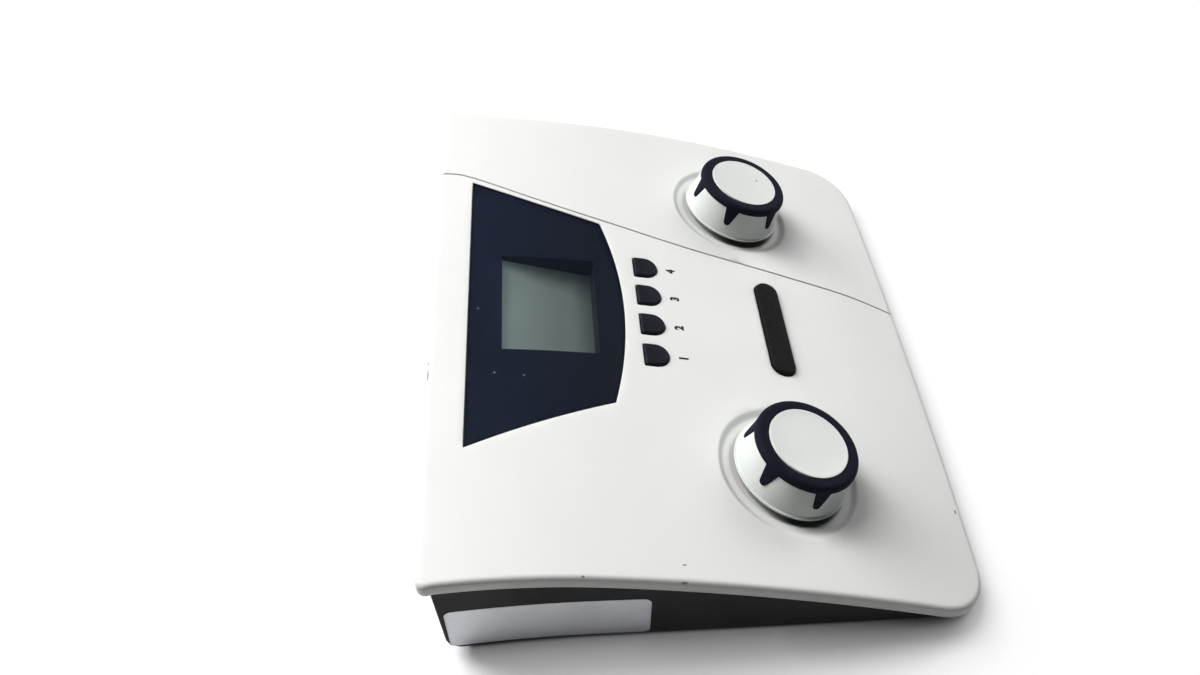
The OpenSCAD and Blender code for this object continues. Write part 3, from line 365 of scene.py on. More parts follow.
# ---------------------------------------------------------------- materials
class Finish:
    """A procedural material in the making."""

    def __init__(self, name, color, roughness, **sockets):
        self.mat = bpy.data.materials.new(name)
        self.mat.use_nodes = True
        self.mat.diffuse_color = (*color, 1)
        self.tree = self.mat.node_tree
        self.bsdf = self.tree.nodes["Principled BSDF"]
        self.bsdf.inputs["Base Color"].default_value = (*color, 1)
        self.bsdf.inputs["Roughness"].default_value = roughness
        for key, value in sockets.items():
            self.bsdf.inputs[key.replace("_", " ")].default_value = value
        self.color = color
        self.coords = self.add("ShaderNodeTexCoord").outputs["Object"]
        self.color_out = self.rough_out = None
        self.height_out = []

    def add(self, kind, **props):
        node = self.tree.nodes.new(kind)
        for key, value in props.items():
            setattr(node, key, value)
        return node

    def link(self, a, b):
        self.tree.links.new(a, b)

    def feed(self, node, values):
        """Gives a node its inputs, each a value or another node's output."""
        for socket, value in zip(node.inputs, values):
            if isinstance(value, bpy.types.NodeSocket):
                self.link(value, socket)
            else:
                socket.default_value = value
        return node

    def noise(self, size_mm, detail=3.0, roughness=0.5, stretch=(1, 1, 1), offset=0.0):
        mapping = self.add("ShaderNodeMapping")
        mapping.inputs["Scale"].default_value = stretch
        mapping.inputs["Location"].default_value = (offset, offset * 0.7, offset * 1.3)
        self.link(self.coords, mapping.inputs["Vector"])
        node = self.add("ShaderNodeTexNoise")
        self.feed(node, (mapping.outputs[0], 0.0, 1000.0 / size_mm, detail, roughness))
        return node.outputs["Fac"]

    def ramp(self, value, low, high, out_low=0.0, out_high=1.0):
        node = self.add("ShaderNodeMapRange", clamp=True)
        return self.feed(node, (value, low, high, out_low, out_high)).outputs[0]

    def axis_ramp(self, axis, low_mm, high_mm):
        split = self.add("ShaderNodeSeparateXYZ")
        self.link(self.coords, split.inputs[0])
        return self.ramp(split.outputs[axis], low_mm * MM, high_mm * MM)

    def math(self, op, a, b):
        return self.feed(self.add("ShaderNodeMath", operation=op), (a, b)).outputs[0]

    def vector(self, op, *values):
        node = self.feed(self.add("ShaderNodeVectorMath", operation=op), values)
        return node.outputs["Value" if op == "LENGTH" else "Vector"]

    def tint(self, mask, color, amount=1.0):
        """Mixes a colour in where mask is 1."""
        mix = self.add("ShaderNodeMix", data_type="RGBA", clamp_factor=True)
        if amount != 1.0:
            mask = self.math("MULTIPLY", mask, amount)
        self.link(mask, mix.inputs[0])
        if self.color_out is None:
            mix.inputs[6].default_value = (*self.color, 1)
        else:
            self.link(self.color_out, mix.inputs[6])
        mix.inputs[7].default_value = (*color, 1)
        self.color_out = mix.outputs[2]

    def rough(self, value):
        self.rough_out = value

    def bump(self, value, depth_mm, strength):
        self.height_out.append((value, depth_mm, strength))

    def attribute(self, name):
        return self.add("ShaderNodeAttribute", attribute_name=name).outputs["Fac"]

    def spot(self, centre_mm, radius_mm, stretch=(1, 1, 1), ragged=0.35):
        """Mask of a small ragged mark round a point."""
        mapping = self.add("ShaderNodeMapping", vector_type="TEXTURE")
        mapping.inputs["Scale"].default_value = stretch
        self.link(self.vector("SUBTRACT", self.coords, [c * MM for c in centre_mm]), mapping.inputs["Vector"])
        wobble = self.ramp(self.noise(radius_mm * 0.9, 2.0), 0.3, 0.7, 1 - ragged, 1 + ragged)
        size = self.math("MULTIPLY", wobble, radius_mm * MM)
        far = self.math("DIVIDE", self.vector("LENGTH", mapping.outputs[0]), size)
        return self.ramp(far, 0.8, 1.15, 1.0, 0.0)

    def axis_distance(self, foot_mm, axis):
        """Distance in metres from a line through a point."""
        shift = self.vector("SUBTRACT", self.coords, [c * MM for c in foot_mm])
        return self.vector("LENGTH", self.vector("CROSS_PRODUCT", shift, axis))

    def done(self):
        if self.color_out is not None:
            self.link(self.color_out, self.bsdf.inputs["Base Color"])
        if self.rough_out is not None:
            self.link(self.rough_out, self.bsdf.inputs["Roughness"])
        normal = None
        for value, depth, strength in self.height_out:
            node = self.add("ShaderNodeBump")
            node.inputs["Strength"].default_value = strength
            node.inputs["Distance"].default_value = depth * MM
            self.link(value, node.inputs["Height"])
            if normal is not None:
                self.link(normal, node.inputs["Normal"])
            normal = node.outputs[0]
        if normal is not None:
            self.link(normal, self.bsdf.inputs["Normal"])
        return self.mat


def moulded(name, color, roughness, grain=0.35, depth=0.02, mottle=0.03, dirt=(0.3, 0.29, 0.27),
            **sockets):
    """Moulded plastic: fine satin grain, faint mottling and light handling marks."""
    m = Finish(name, color, roughness, **sockets)
    grain_height = m.noise(grain, 2.0, 0.6)
    m.bump(grain_height, depth, 0.6)
    m.bump(m.noise(9.0, 2.0), 0.06, 0.25)
    m.tint(m.ramp(m.noise(26.0, 3.0), 0.35, 0.75), tuple(c * (1 - 2.2 * mottle) for c in color), 0.5)
    m.tint(m.ramp(m.noise(1.6, 3.0, 0.7, offset=0.3), 0.62, 0.8), dirt, mottle)
    fingers = m.ramp(m.noise(18.0, 4.0, 0.6, offset=0.1), 0.4, 0.7, roughness - 0.05, roughness + 0.07)
    m.rough(m.math("ADD", fingers, m.ramp(grain_height, 0.3, 0.7, -0.03, 0.03)))
    return m


def cover_material():
    m = moulded("satin_light_plastic", (0.765, 0.772, 0.748), 0.46, grain=0.32, depth=0.018, mottle=0.02)
    # Painted shade: the groove is darkened along its length
    m.tint(m.attribute("groove"), (0.10, 0.10, 0.11), 0.85)
    # Painted shade round the edges of the key, bar and window openings
    m.tint(m.attribute("crevice_shade"), (0.33, 0.33, 0.32), 0.35)
    # Contact shadow under the flange of each knob, deeper towards the user
    knob_axis = (0, -SIN, COS)
    near = m.math("MINIMUM", *(m.axis_distance((x, DECK_Y, DECK_Z), knob_axis) for x in (-KNOB_X, KNOB_X)))
    under = m.ramp(near, (FLANGE_R + 0.15) * MM, (FLANGE_R + 0.95) * MM, 1.0, 0.0)
    front = m.math("MAXIMUM", m.axis_ramp("Y", DECK_Y + 15, DECK_Y + 3), 0.3)
    m.tint(m.math("MULTIPLY", under, front), (0.05, 0.05, 0.053), 0.85)
    marks = [
        ((-106.4, 12.6, 39.5), 0.45, (0.8, 1.3, 3)),
        ((-112.1, 13.2, 38.9), 0.4, (0.7, 2.6, 3)),
        ((-111.7, 43.2, 45.0), 0.4, (1, 1.2, 3)),
        ((-73.1, -88.5, 8.5), 0.45, (1.8, 0.8, 3)),
        ((-36.1, 91.4, 48.6), 0.7, (4.0, 0.5, 1.5)),
        ((-30.5, 91.5, 48.2), 0.5, (2.4, 0.6, 1.5)),
    ]
    for mark in marks:
        m.tint(m.spot(*mark), (0.09, 0.085, 0.08), 0.8)
    return m.done()


def knob_material():
    m = moulded("light_knob_plastic", (0.66, 0.69, 0.66), 0.36, grain=0.4, depth=0.008, mottle=0.02)
    # Painted shade on the flange's lower edge, under the knob
    m.tint(m.attribute("gap"), (0.03, 0.03, 0.033), 0.9)
    m.tint(m.spot((70.2, -38.3, 42.6), 0.5, (1.4, 0.8, 3)), (0.12, 0.115, 0.11), 0.75)
    return m.done()


def window_material():
    m = Finish("clear_window", (1.0, 1.0, 1.0), 0.03, Transmission_Weight=1.0, IOR=1.44)
    m.rough(m.ramp(m.noise(14.0, 4.0, 0.65), 0.35, 0.8, 0.015, 0.05))
    m.bump(m.noise(40.0, 1.0), 0.05, 0.15)
    return m.done()


def mask_material():
    m = Finish("printed_navy", (0.004, 0.0045, 0.009), 0.35, Specular_IOR_Level=0.2)
    # Painted reflection: the print turns lighter and bluer towards the rear
    m.tint(m.axis_ramp("Y", 30.0, 74.0), (0.006, 0.011, 0.032))
    m.tint(m.ramp(m.noise(45.0, 2.0), 0.3, 0.75), (0.005, 0.008, 0.022), 0.5)
    dust = [
        ((-34.5, 69.3, 47.0), 0.35), ((-35.3, 59.4, 46.0), 0.28), ((-4.3, 75.4, 47.5), 0.3),
        ((-19.0, 35.5, 42.4), 0.2), ((8.0, 33.2, 42.0), 0.2), ((-39.5, 34.0, 42.2), 0.2),
    ]
    for speck in dust:
        m.tint(m.spot(*speck), (0.5, 0.54, 0.62), 0.85)
    m.rough(m.ramp(m.noise(5.0, 3.0), 0.3, 0.7, 0.3, 0.42))
    m.bump(m.noise(0.5, 1.0), 0.004, 0.5)
    return m.done()


def lcd_material():
    # Painted light: the cell glows faintly in its own colour, standing in for lamp light through the pane
    m = Finish("display_cell", (0.11, 0.14, 0.125), 0.38,
               Coat_Weight=0.3, Coat_Roughness=0.12, Emission_Strength=0.3)
    m.tint(m.ramp(m.noise(22.0, 3.0), 0.3, 0.7), (0.135, 0.17, 0.155), 0.4)
    # Painted light: lighter towards the rear, where the lamps reach it. Darker towards the front edge.
    m.tint(m.axis_ramp("Y", 47.0, 68.0), (0.215, 0.275, 0.26), 0.85)
    m.tint(m.axis_ramp("Y", 41.0, 31.0), (0.033, 0.042, 0.044), 0.8)
    # The right front corner lies in the housing's shadow
    split = m.add("ShaderNodeSeparateXYZ")
    m.link(m.coords, split.inputs[0])
    corner = m.math("SUBTRACT", split.outputs["X"], m.math("MULTIPLY", split.outputs["Y"], 0.35))
    corner = m.math("ADD", corner, m.ramp(m.noise(9.0, 3.0), 0.3, 0.7, -2 * MM, 2 * MM))
    m.tint(m.ramp(corner, -4 * MM, 11 * MM), (0.012, 0.018, 0.019), 0.85)
    # The painted glow takes the cell's colour
    m.link(m.color_out, m.bsdf.inputs["Emission Color"])
    m.rough(m.ramp(m.noise(7.0, 3.0), 0.3, 0.7, 0.32, 0.44))
    m.bump(m.noise(0.4, 1.0), 0.004, 0.5)
    return m.done()


def metal_material(name, color, roughness):
    m = Finish(name, color, roughness, Metallic=1.0)
    m.rough(m.ramp(m.noise(2.0, 4.0, 0.6), 0.3, 0.7, roughness - 0.08, roughness + 0.12))
    m.tint(m.ramp(m.noise(4.0, 3.0), 0.5, 0.8), tuple(c * 0.7 for c in color), 0.4)
    m.bump(m.noise(0.3, 2.0, stretch=(1, 6, 1)), 0.01, 0.4)
    return m.done()


def board_material():
    m = Finish("solder_mask_green", (0.02, 0.10, 0.045), 0.35)
    traces = m.add("ShaderNodeTexBrick")
    traces.inputs["Scale"].default_value = 180.0
    traces.inputs["Mortar Size"].default_value = 0.012
    m.link(m.coords, traces.inputs["Vector"])
    m.tint(traces.outputs["Fac"], (0.05, 0.2, 0.09), 0.5)
    m.rough(m.ramp(m.noise(3.0), 0.3, 0.7, 0.3, 0.45))
    m.bump(traces.outputs["Fac"], 0.03, 0.5)
    return m.done()


def rubber_material(name, color, roughness, grain):
    m = Finish(name, color, roughness, Specular_IOR_Level=0.12)
    fine = m.noise(grain, 3.0, 0.65)
    m.bump(fine, 0.03, 0.7)
    m.tint(m.ramp(m.noise(6.0, 4.0, 0.6), 0.5, 0.8), tuple(c * 1.9 + 0.003 for c in color), 0.45)
    m.tint(m.ramp(m.noise(0.8, 2.0, offset=0.4), 0.66, 0.76), (0.16, 0.16, 0.16), 0.12)
    m.rough(m.ramp(fine, 0.3, 0.7, roughness - 0.06, roughness + 0.08))
    return m.done()


def sticker_material():
    m = Finish("blank_sticker", (0.80, 0.81, 0.85), 0.35, Metallic=0.45)
    m.tint(m.ramp(m.noise(12.0, 4.0, 0.6), 0.45, 0.75), (0.68, 0.69, 0.73), 0.5)
    m.tint(m.ramp(m.noise(0.7, 2.0, offset=0.2), 0.7, 0.78), (0.3, 0.3, 0.32), 0.2)
    # Painted shade: darker towards the bottom, where the floor shades the wall
    m.tint(m.axis_ramp("Z", 12.0, 3.0), (0.5, 0.51, 0.54), 0.5)
    m.tint(m.attribute("edge"), (0.42, 0.42, 0.44), 0.6)
    m.rough(m.ramp(m.noise(8.0, 4.0), 0.3, 0.7, 0.34, 0.46))
    m.bump(m.noise(3.0, 3.0), 0.02, 0.25)
    return m.done()


CONTACT_REACH_M = 0.025


def floor_material():
    """Pale paper: it shows bright to the camera and in reflections, and sends less light back up."""
    m = Finish("pale_paper", (0.42, 0.42, 0.42), 0.9)
    m.bump(m.noise(1.2, 3.0), 0.02, 0.3)
    bright = m.feed(m.add("ShaderNodeBsdfDiffuse"), [(0.96, 0.96, 0.965, 1)]).outputs[0]
    glow = m.feed(m.add("ShaderNodeEmission"), [(1, 1, 1, 1), 1.0]).outputs[0]
    # Painted contact shade: the floor's glow fades where ambient occlusion finds the object close
    near = m.add("ShaderNodeAmbientOcclusion", samples=16)
    near.inputs["Distance"].default_value = CONTACT_REACH_M
    close = m.ramp(near.outputs["AO"], 0.35, 0.9, 0.0, 0.52)
    far = m.ramp(m.axis_distance((0, 0, 0), (0, 0, 1)), 0.4, 1.1)
    pale = m.feed(m.add("ShaderNodeMixShader"), (m.math("MAXIMUM", close, far), bright, glow)).outputs[0]
    path = m.add("ShaderNodeLightPath").outputs
    seen = m.math("MAXIMUM", path["Is Camera Ray"], path["Is Glossy Ray"])
    seen = m.math("MAXIMUM", seen, path["Is Transmission Ray"])
    mix = m.feed(m.add("ShaderNodeMixShader"), (seen, m.bsdf.outputs[0], pale))
    m.link(mix.outputs[0], m.tree.nodes["Material Output"].inputs["Surface"])
    return m.done()


MAT = {
    "cover": cover_material(),
    "tray": moulded("charcoal_plastic", (0.009, 0.009, 0.010), 0.6, grain=0.5, depth=0.05, mottle=0.04,
                    dirt=(0.05, 0.05, 0.05), Specular_IOR_Level=0.15).done(),
    "window": window_material(),
    "mask": mask_material(),
    # Dark pane edge: partly its own print, partly painted shade standing in for the gap round the pane
    "rim": moulded("dark_edge_print_and_gap_shade", (0.006, 0.006, 0.008), 0.7, grain=0.3, depth=0.01,
                   dirt=(0.02, 0.02, 0.02), Specular_IOR_Level=0.1).done(),
    "shroud": moulded("dark_foam", (0.012, 0.014, 0.018), 0.85, grain=0.6, depth=0.1).done(),
    "lcd": lcd_material(),
    "metal": metal_material("nickel_plate", (0.62, 0.61, 0.58), 0.28),
    "board": board_material(),
    "black": moulded("black_nylon", (0.018, 0.018, 0.019), 0.42, grain=0.4, depth=0.03, mottle=0.05).done(),
    "plunger": moulded("ivory_acetal", (0.68, 0.64, 0.52), 0.4, mottle=0.05).done(),
    "ribbon": moulded("ribbon_grey", (0.42, 0.42, 0.43), 0.5, mottle=0.05).done(),
    "can": moulded("blue_sleeve", (0.03, 0.05, 0.14), 0.3, mottle=0.05).done(),
    "foot": rubber_material("foot_rubber", (0.022, 0.022, 0.022), 0.75, 0.5),
    "knob": knob_material(),
    "collar": rubber_material("navy_soft_rubber", (0.0045, 0.005, 0.013), 0.75, 0.5),
    "key": rubber_material("navy_key_plastic", (0.0055, 0.0055, 0.011), 0.5, 0.35),
    "bar": rubber_material("black_bar_rubber", (0.004, 0.004, 0.0042), 0.7, 0.8),
    "sticker": sticker_material(),
    "ink": moulded("dark_ink", (0.022, 0.022, 0.026), 0.6, mottle=0.03, dirt=(0.06, 0.06, 0.06),
                   Specular_IOR_Level=0.15).done(),
}


# ---------------------------------------------------------------- cover
def window_loop(grow):
    rear, front = WINDOW_REAR_HALF + grow, WINDOW_FRONT_HALF + grow
    y_rear, y_front = WINDOW_REAR_Y + grow, WINDOW_FRONT_Y - grow

    def arc(a, b, bow, steps):
        a, b = np.array(a), np.array(b)
        c = b - a
        side = np.array([c[1], -c[0]]) / np.linalg.norm(c)
        return [a + c * t + side * bow * 4 * t * (1 - t) for t in np.linspace(0, 1, steps, endpoint=False)]

    return np.array(
        arc((-front, y_front), (front, y_front), WINDOW_FRONT_BOW, 48)
        + arc((front, y_front), (rear, y_rear), -WINDOW_SIDE_BOW, 24)
        + arc((rear, y_rear), (-rear, y_rear), 0, 40)
        + arc((-rear, y_rear), (-front, y_front), -WINDOW_SIDE_BOW, 24)
    )


GROOVE_PATH = [
    (71.5, 98.0), (71.5, 86.0), (68.0, 76.2), (57.65, 53.8), (48.2, 28.9),
    (37.9, -6.0), (32.0, -42.0), (28.2, -73.0), (22.6, -95.0),
]


def smooth_path(p, steps=12):
    p = np.array([p[0]] + list(p) + [p[-1]], float)
    out = []
    for i in range(1, len(p) - 2):
        for t in np.linspace(0, 1, steps, endpoint=False):
            out.append(0.5 * (2 * p[i] + (p[i + 1] - p[i - 1]) * t
                              + (2 * p[i - 1] - 5 * p[i] + 4 * p[i + 1] - p[i + 2]) * t**2
                              + (3 * p[i] - p[i - 1] - 3 * p[i + 1] + p[i + 2]) * t**3))
    out.append(p[-2])
    return np.array(out)


def sidestep(path, offset):
    """An open line moved to its left."""
    d = np.gradient(path, axis=0)
    normal = np.column_stack([-d[:, 1], d[:, 0]]) / np.linalg.norm(d, axis=1)[:, None]
    return path + normal * offset


def key_shape(grow, steps=40):
    """D shape of a key: round towards the user, straight at the rear, counter-clockwise."""
    r = KEY_W / 2 + grow
    mid = KEY_W / 2 - KEY_L / 2
    rear = KEY_L / 2 + grow
    cut = KEY_CORNER / math.sqrt(2)
    points = [(r * math.cos(a), mid + r * math.sin(a)) for a in np.linspace(math.pi, 2 * math.pi, steps)]
    points += [(r, rear - cut), (r - cut * 0.3, rear - cut * 0.3), (r - cut, rear)]
    points += [(x, rear) for x in np.linspace(r - cut, cut - r, 12)[1:-1]]
    points += [(cut - r, rear), (cut * 0.3 - r, rear - cut * 0.3), (-r, rear - cut)]
    return np.array(points)


def bar_shape(grow, steps=28):
    r = BAR_W / 2 + grow
    half = BAR_L / 2 - BAR_W / 2
    turn = np.linspace(-math.pi / 2, math.pi / 2, steps)
    right = [(half + r * math.cos(a), r * math.sin(a)) for a in turn]
    top = [(x, r) for x in np.linspace(half, -half, 20)[1:-1]]
    left = [(-half + r * math.cos(a), r * math.sin(a)) for a in turn + math.pi]
    bottom = [(x, -r) for x in np.linspace(-half, half, 20)[1:-1]]
    return np.array(right + top + left + bottom)


KEY_XS = [(i - 2.5) * KEY_PITCH for i in (1, 2, 3, 4)]
KEY_U, BAR_U, VIEW_U = deck_u(KEY_Y), deck_u(BAR_Y), deck_u(VIEW_Y)


def well_w(r):
    """Depth of a dished well at distance r from the knob's axis, on the knob plane."""
    slope = WELL_DEPTH / WELL_SLOPE_W
    return smooth_max(np.full_like(r, -WELL_DEPTH), (r - WELL_R) * slope, 0.35)


def well_z(p, knob_x):
    """Height of a dished well's own surface over plan points."""
    z = surface_z(p[:, 1])
    for _ in range(6):
        u = (p[:, 1] - DECK_Y) * COS + (z - DECK_Z) * SIN
        w = well_w(np.hypot(p[:, 0] - knob_x, u))
        z = DECK_Z + (w + (p[:, 1] - DECK_Y) * SIN) / COS
    return z


def ring_loop(knob_x, r, steps=144):
    a = np.linspace(0, 2 * math.pi, steps, endpoint=False)
    drop = -min(0.0, float(well_w(np.array([r]))[0]))
    return plan_of(np.column_stack([knob_x + r * np.cos(a), r * np.sin(a)]), drop)


def rectangle(w, length, steps=16):
    """Counter-clockwise rectangle on the knob plane round the display's view."""
    s = np.linspace(-1, 1, steps, endpoint=False)
    x, u = w / 2, length / 2
    return np.vstack([
        np.column_stack([s * x, np.full(steps, -u)]), np.column_stack([np.full(steps, x), s * u]),
        np.column_stack([-s * x, np.full(steps, u)]), np.column_stack([np.full(steps, -x), -s * u]),
    ]) + (0, VIEW_U)


def build_cover():
    outer = outline(0)
    holes = [plan_of(key_shape(KEY_GAP) + (x, KEY_U)) for x in KEY_XS]
    holes.append(plan_of(bar_shape(KEY_GAP) + (0, BAR_U)))
    window = window_loop(WINDOW_GAP)
    bushings = [ring_loop(s * KNOB_X, BUSHING_HOLE_R, 40) for s in (-1, 1)]
    path = smooth_path(GROOVE_PATH)

    closed = [outline(EDGE_R * (1 - math.cos(math.radians(a)))) for a in (0, 15, 30, 45, 60, 75, 90)]
    closed.append(outline(2.4))
    for hole in holes + [window]:
        closed += [shrunk(hole, -i) for i in (0, 0.06, 0.16, OPENING_EDGE_R)]
    closed += bushings
    well_rings = (21.4, 22.1, 22.5, 22.9, 23.4, 23.9, 24.4, 24.9, 25.4, WELL_R)
    for s in (-1, 1):
        closed += [ring_loop(s * KNOB_X, r) for r in well_rings]
    lines = [sidestep(path, o) for o in (-0.42, -0.34, -0.24, -0.12, 0.12, 0.24, 0.34, 0.42)]
    grid = field_points(outer, 4.0, 2.6, 2.8)
    verts, faces = triangulate(closed, lines, grid, outer, holes + [window] + bushings)

    d_edge, seg, along = distance(verts, outer)
    d_groove = distance(verts, path, closed=False)[0]
    groove = np.clip((GROOVE_W / 2 + 0.07 - d_groove) / 0.26, 0, 1)
    groove = groove * groove * (3 - 2 * groove)
    base = surface_z(verts[:, 1])
    z = np.minimum(base - rounding(d_edge, EDGE_R), base - GROOVE_DEPTH * groove)
    # Mask of painted shade round the openings
    crevice_shade = np.zeros(len(verts))
    for hole in holes + [window]:
        d = distance(verts, hole)[0]
        z -= rounding(d, OPENING_EDGE_R)
        crevice_shade = np.maximum(crevice_shade, np.clip(1 - d / 0.3, 0, 1))
    for s in (-1, 1):
        near = np.hypot(verts[:, 0] - s * KNOB_X, verts[:, 1] - DECK_Y) < WELL_R + 6
        z[near] = smooth_min(z[near], well_z(verts[near], s * KNOB_X), 0.22)

    points = [(x, y, h) for (x, y), h in zip(verts, z)]
    faces = [tuple(int(i) for i in f) for f in faces]
    edges = open_edges(faces)
    on_outer = d_edge < 0.02

    rim = [(outline(i), drop) for i, drop in (
        (0.0, LIP_H - RIM_CHAMFER), (0.12, LIP_H - 0.12), (RIM_CHAMFER, LIP_H), (LIP_WALL - 0.3, LIP_H),
        (LIP_WALL, LIP_H - 0.3), (LIP_WALL, LIP_H - 1.6))]
    rows = [{} for _ in rim]
    for i in sorted({v for e in edges for v in e if on_outer[v]}):
        k, t = seg[i], along[i]
        for row, (loop, drop) in zip(rows, rim):
            p = loop[k] * (1 - t) + loop[(k + 1) % len(loop)] * t
            row[i] = len(points)
            points.append((p[0], p[1], surface_z(p[1]) - drop))
    wall = {}
    for i in sorted({v for e in edges for v in e if not on_outer[v]}):
        wall[i] = len(points)
        x, y, h = points[i]
        # Key openings go down square to the knob plane, the window's recess straight down
        if distance(np.array([[x, y]]), window)[0][0] > 0.02:
            points.append((x, y + OPENING_DEPTH * SIN, h - OPENING_DEPTH * COS))
        else:
            points.append((x, y, h - RECESS_DEPTH))
    for a, b in edges:
        if on_outer[a] and on_outer[b]:
            chain = [{a: a, b: b}] + rows
            for up, down in zip(chain, chain[1:]):
                faces.append((up[b], up[a], down[a], down[b]))
        elif a in wall and b in wall:
            faces.append((b, a, wall[a], wall[b]))
    obj = make("cover_shell", points, faces, MAT["cover"], "housing", ["top_cover"], sharp=50)
    extra = len(points) - len(verts)
    # Both kept values are masks of painted shade: along the groove and round the openings
    for name, value in (("groove", groove), ("crevice_shade", crevice_shade)):
        shade(obj, name, np.concatenate([value, np.zeros(extra)]))


def build_window():
    loop = window_loop(0)

    def top(v):
        return surface_z(v[:, 1]) - rounding(distance(v, loop)[0], WINDOW_BEVEL)

    def level(drop):
        return lambda v: surface_z(v[:, 1]) - drop

    pane = plate("window_pane", loop, (0, 0.05, 0.14, WINDOW_BEVEL, 0.5), top, level(LENS_T), [],
                 MAT["window"], ["display_window"])
    # The pane's outer edge gets the dark edge finish: print and painted gap shade
    pane.data.materials.append(MAT["rim"])
    centres = np.array([f.center[:2] for f in pane.data.polygons]) / MM
    for face, gap in zip(pane.data.polygons, distance(centres, loop)[0]):
        face.material_index = int(gap < DARK_EDGE_W)
    view = plan_of(rectangle(VIEW_W, VIEW_L), LENS_T)
    plate("window_mask", window_loop(-0.05), (0,), level(LENS_T + 0.02), level(LENS_T + MASK_T - 0.02),
          [view], MAT["mask"], ["display_mask"])
    opening = rectangle(VIEW_W + 2 * VIEW_BORDER - SHROUD_LAP, VIEW_L + 2 * VIEW_BORDER - SHROUD_LAP)
    opening = [(x - SHROUD_LAP / 2, u + SHROUD_LAP / 4) for x, u in opening]
    mouth = plan_of(opening, RECESS_DROP)
    plate("window_seat", window_loop(WINDOW_GAP), (0,), level(RECESS_DROP), level(RECESS_DROP + 0.8),
          [mouth], MAT["shroud"], ())
    upper = [(x, y, surface_z(y) - RECESS_DROP - 0.4) for x, y in mouth]
    lower = placed([(x, u, -SHROUD_END) for x, u in opening], deck_matrix())
    verts, faces = skin([upper, lower])
    make("display_shroud", verts, faces, MAT["shroud"], "housing")


# ---------------------------------------------------------------- knobs
def skirt_r(h):
    return SKIRT_BOTTOM_R + (SKIRT_TOP_R - SKIRT_BOTTOM_R) * (h - SKIRT_LOW) / (COLLAR_LOW - SKIRT_LOW)


def collar_mesh():
    """Soft ring whose fingers lie on the skirt, with every edge rounded off."""
    edge_steps = (0.07, 0.2, 0.4)
    half = FINGER_MEAN_R * math.pi / FINGERS
    tip, root = FINGER_TIP_W / 2, FINGER_ROOT_W / 2
    tip_v = FINGER_L - tip
    per_sector = 24
    xs = np.linspace(-half, half, per_sector + 1)
    lean = math.atan2(root, tip_v) - math.asin(tip / math.hypot(root, tip_v))
    foot = np.array((tip * math.cos(lean), -tip_v - tip * math.sin(lean)))
    right = [tuple(np.array((root, 0.0)) * (1 - t) + foot * t) for t in np.linspace(0, 1, 12, endpoint=False)]
    right += [(tip * math.cos(a), -tip_v + tip * math.sin(a)) for a in np.linspace(-lean, -math.pi / 2, 10)]
    flat_right = [(x, 0.0) for x in xs if x > right[0][0] + 0.2]
    border = [(-x, v) for x, v in flat_right[::-1] + right] + right[-2::-1] + flat_right
    border = np.array(border)
    top_v = COLLAR_SIDE_H - 0.05
    loop = np.vstack([border, [(x, top_v) for x in xs[::-1]]])
    extra = []
    for o in edge_steps:
        line = sidestep(border, o)
        d = distance(line, border, closed=False)[0]
        ok = inside(line, loop) & (d > 0.93 * o) & (line[:, 1] < top_v - 0.1)
        extra += list(line[ok])
    for v in np.arange(-FINGER_L + 1, top_v - 0.1, 0.8):
        extra += [(x, v) for x in np.arange(-3.2, 3.3, 0.8)]
    extra = np.array(extra)
    extra = extra[inside(extra, loop)]
    d = distance(extra, border, closed=False)[0]
    extra = extra[(d > 0.06) & (extra[:, 1] < top_v - 0.05)]
    sides = [(s * half, v) for s in (-1, 1) for v in edge_steps]
    verts, faces = triangulate([loop], [], np.vstack([extra, sides]), loop, [])
    d = distance(verts, border, closed=False)[0]
    rise = np.minimum(d / edge_steps[-1], 1)
    full = np.sqrt(np.maximum(1 - (1 - rise) ** 2, 0))
    slope = math.atan((SKIRT_BOTTOM_R - SKIRT_TOP_R) / (COLLAR_LOW - SKIRT_LOW))
    along = verts[:, 1] * np.where(verts[:, 1] < 0, math.cos(slope), 1)
    h = COLLAR_LOW + 0.05 + along
    r = np.where(verts[:, 1] < 0, skirt_r(h), SKIRT_TOP_R) + COLLAR_PROUD - (COLLAR_PROUD + 0.03) * (1 - full)
    theta = verts[:, 0] / FINGER_MEAN_R
    points, all_faces = [], []
    for k in range(FINGERS):
        base = len(points)
        a = theta + k * 2 * math.pi / FINGERS
        points += list(zip(r * np.cos(a), r * np.sin(a), h))
        all_faces += [tuple(int(i) + base for i in f) for f in faces]
    outer = SKIRT_TOP_R + COLLAR_PROUD
    profile = [(outer, COLLAR_LOW + COLLAR_SIDE_H)]
    for a in np.radians(np.linspace(0, 84, 12)):
        profile.append((COLLAR_TOP_R + (outer - COLLAR_TOP_R) * math.cos(a),
                        COLLAR_LOW + COLLAR_SIDE_H + (COLLAR_H - COLLAR_SIDE_H) * math.sin(a)))
    profile += filleted([(COLLAR_TOP_R, COLLAR_LOW + COLLAR_H), (CAP_R + 0.12, KNOB_H - 0.3),
                         (CAP_R + 0.08, KNOB_H - CAP_T)], (0, 0.35, 0))
    steps = per_sector * FINGERS
    angles = [2 * math.pi * i / steps - math.pi / FINGERS for i in range(steps)]
    ring_verts, ring_faces = skin(
        [[(pr * math.cos(a), pr * math.sin(a), ph) for a in angles] for pr, ph in profile])
    base = len(points)
    return points + ring_verts, all_faces + [tuple(i + base for i in f) for f in ring_faces]


def spaced(loop, step):
    """A closed line with extra points on its long sides."""
    points = []
    for a, b in zip(loop, np.roll(loop, -1, 0)):
        n = max(1, round(np.linalg.norm(b - a) / step))
        points += [a + (b - a) * t for t in np.linspace(0, 1, n, endpoint=False)]
    return np.array(points)


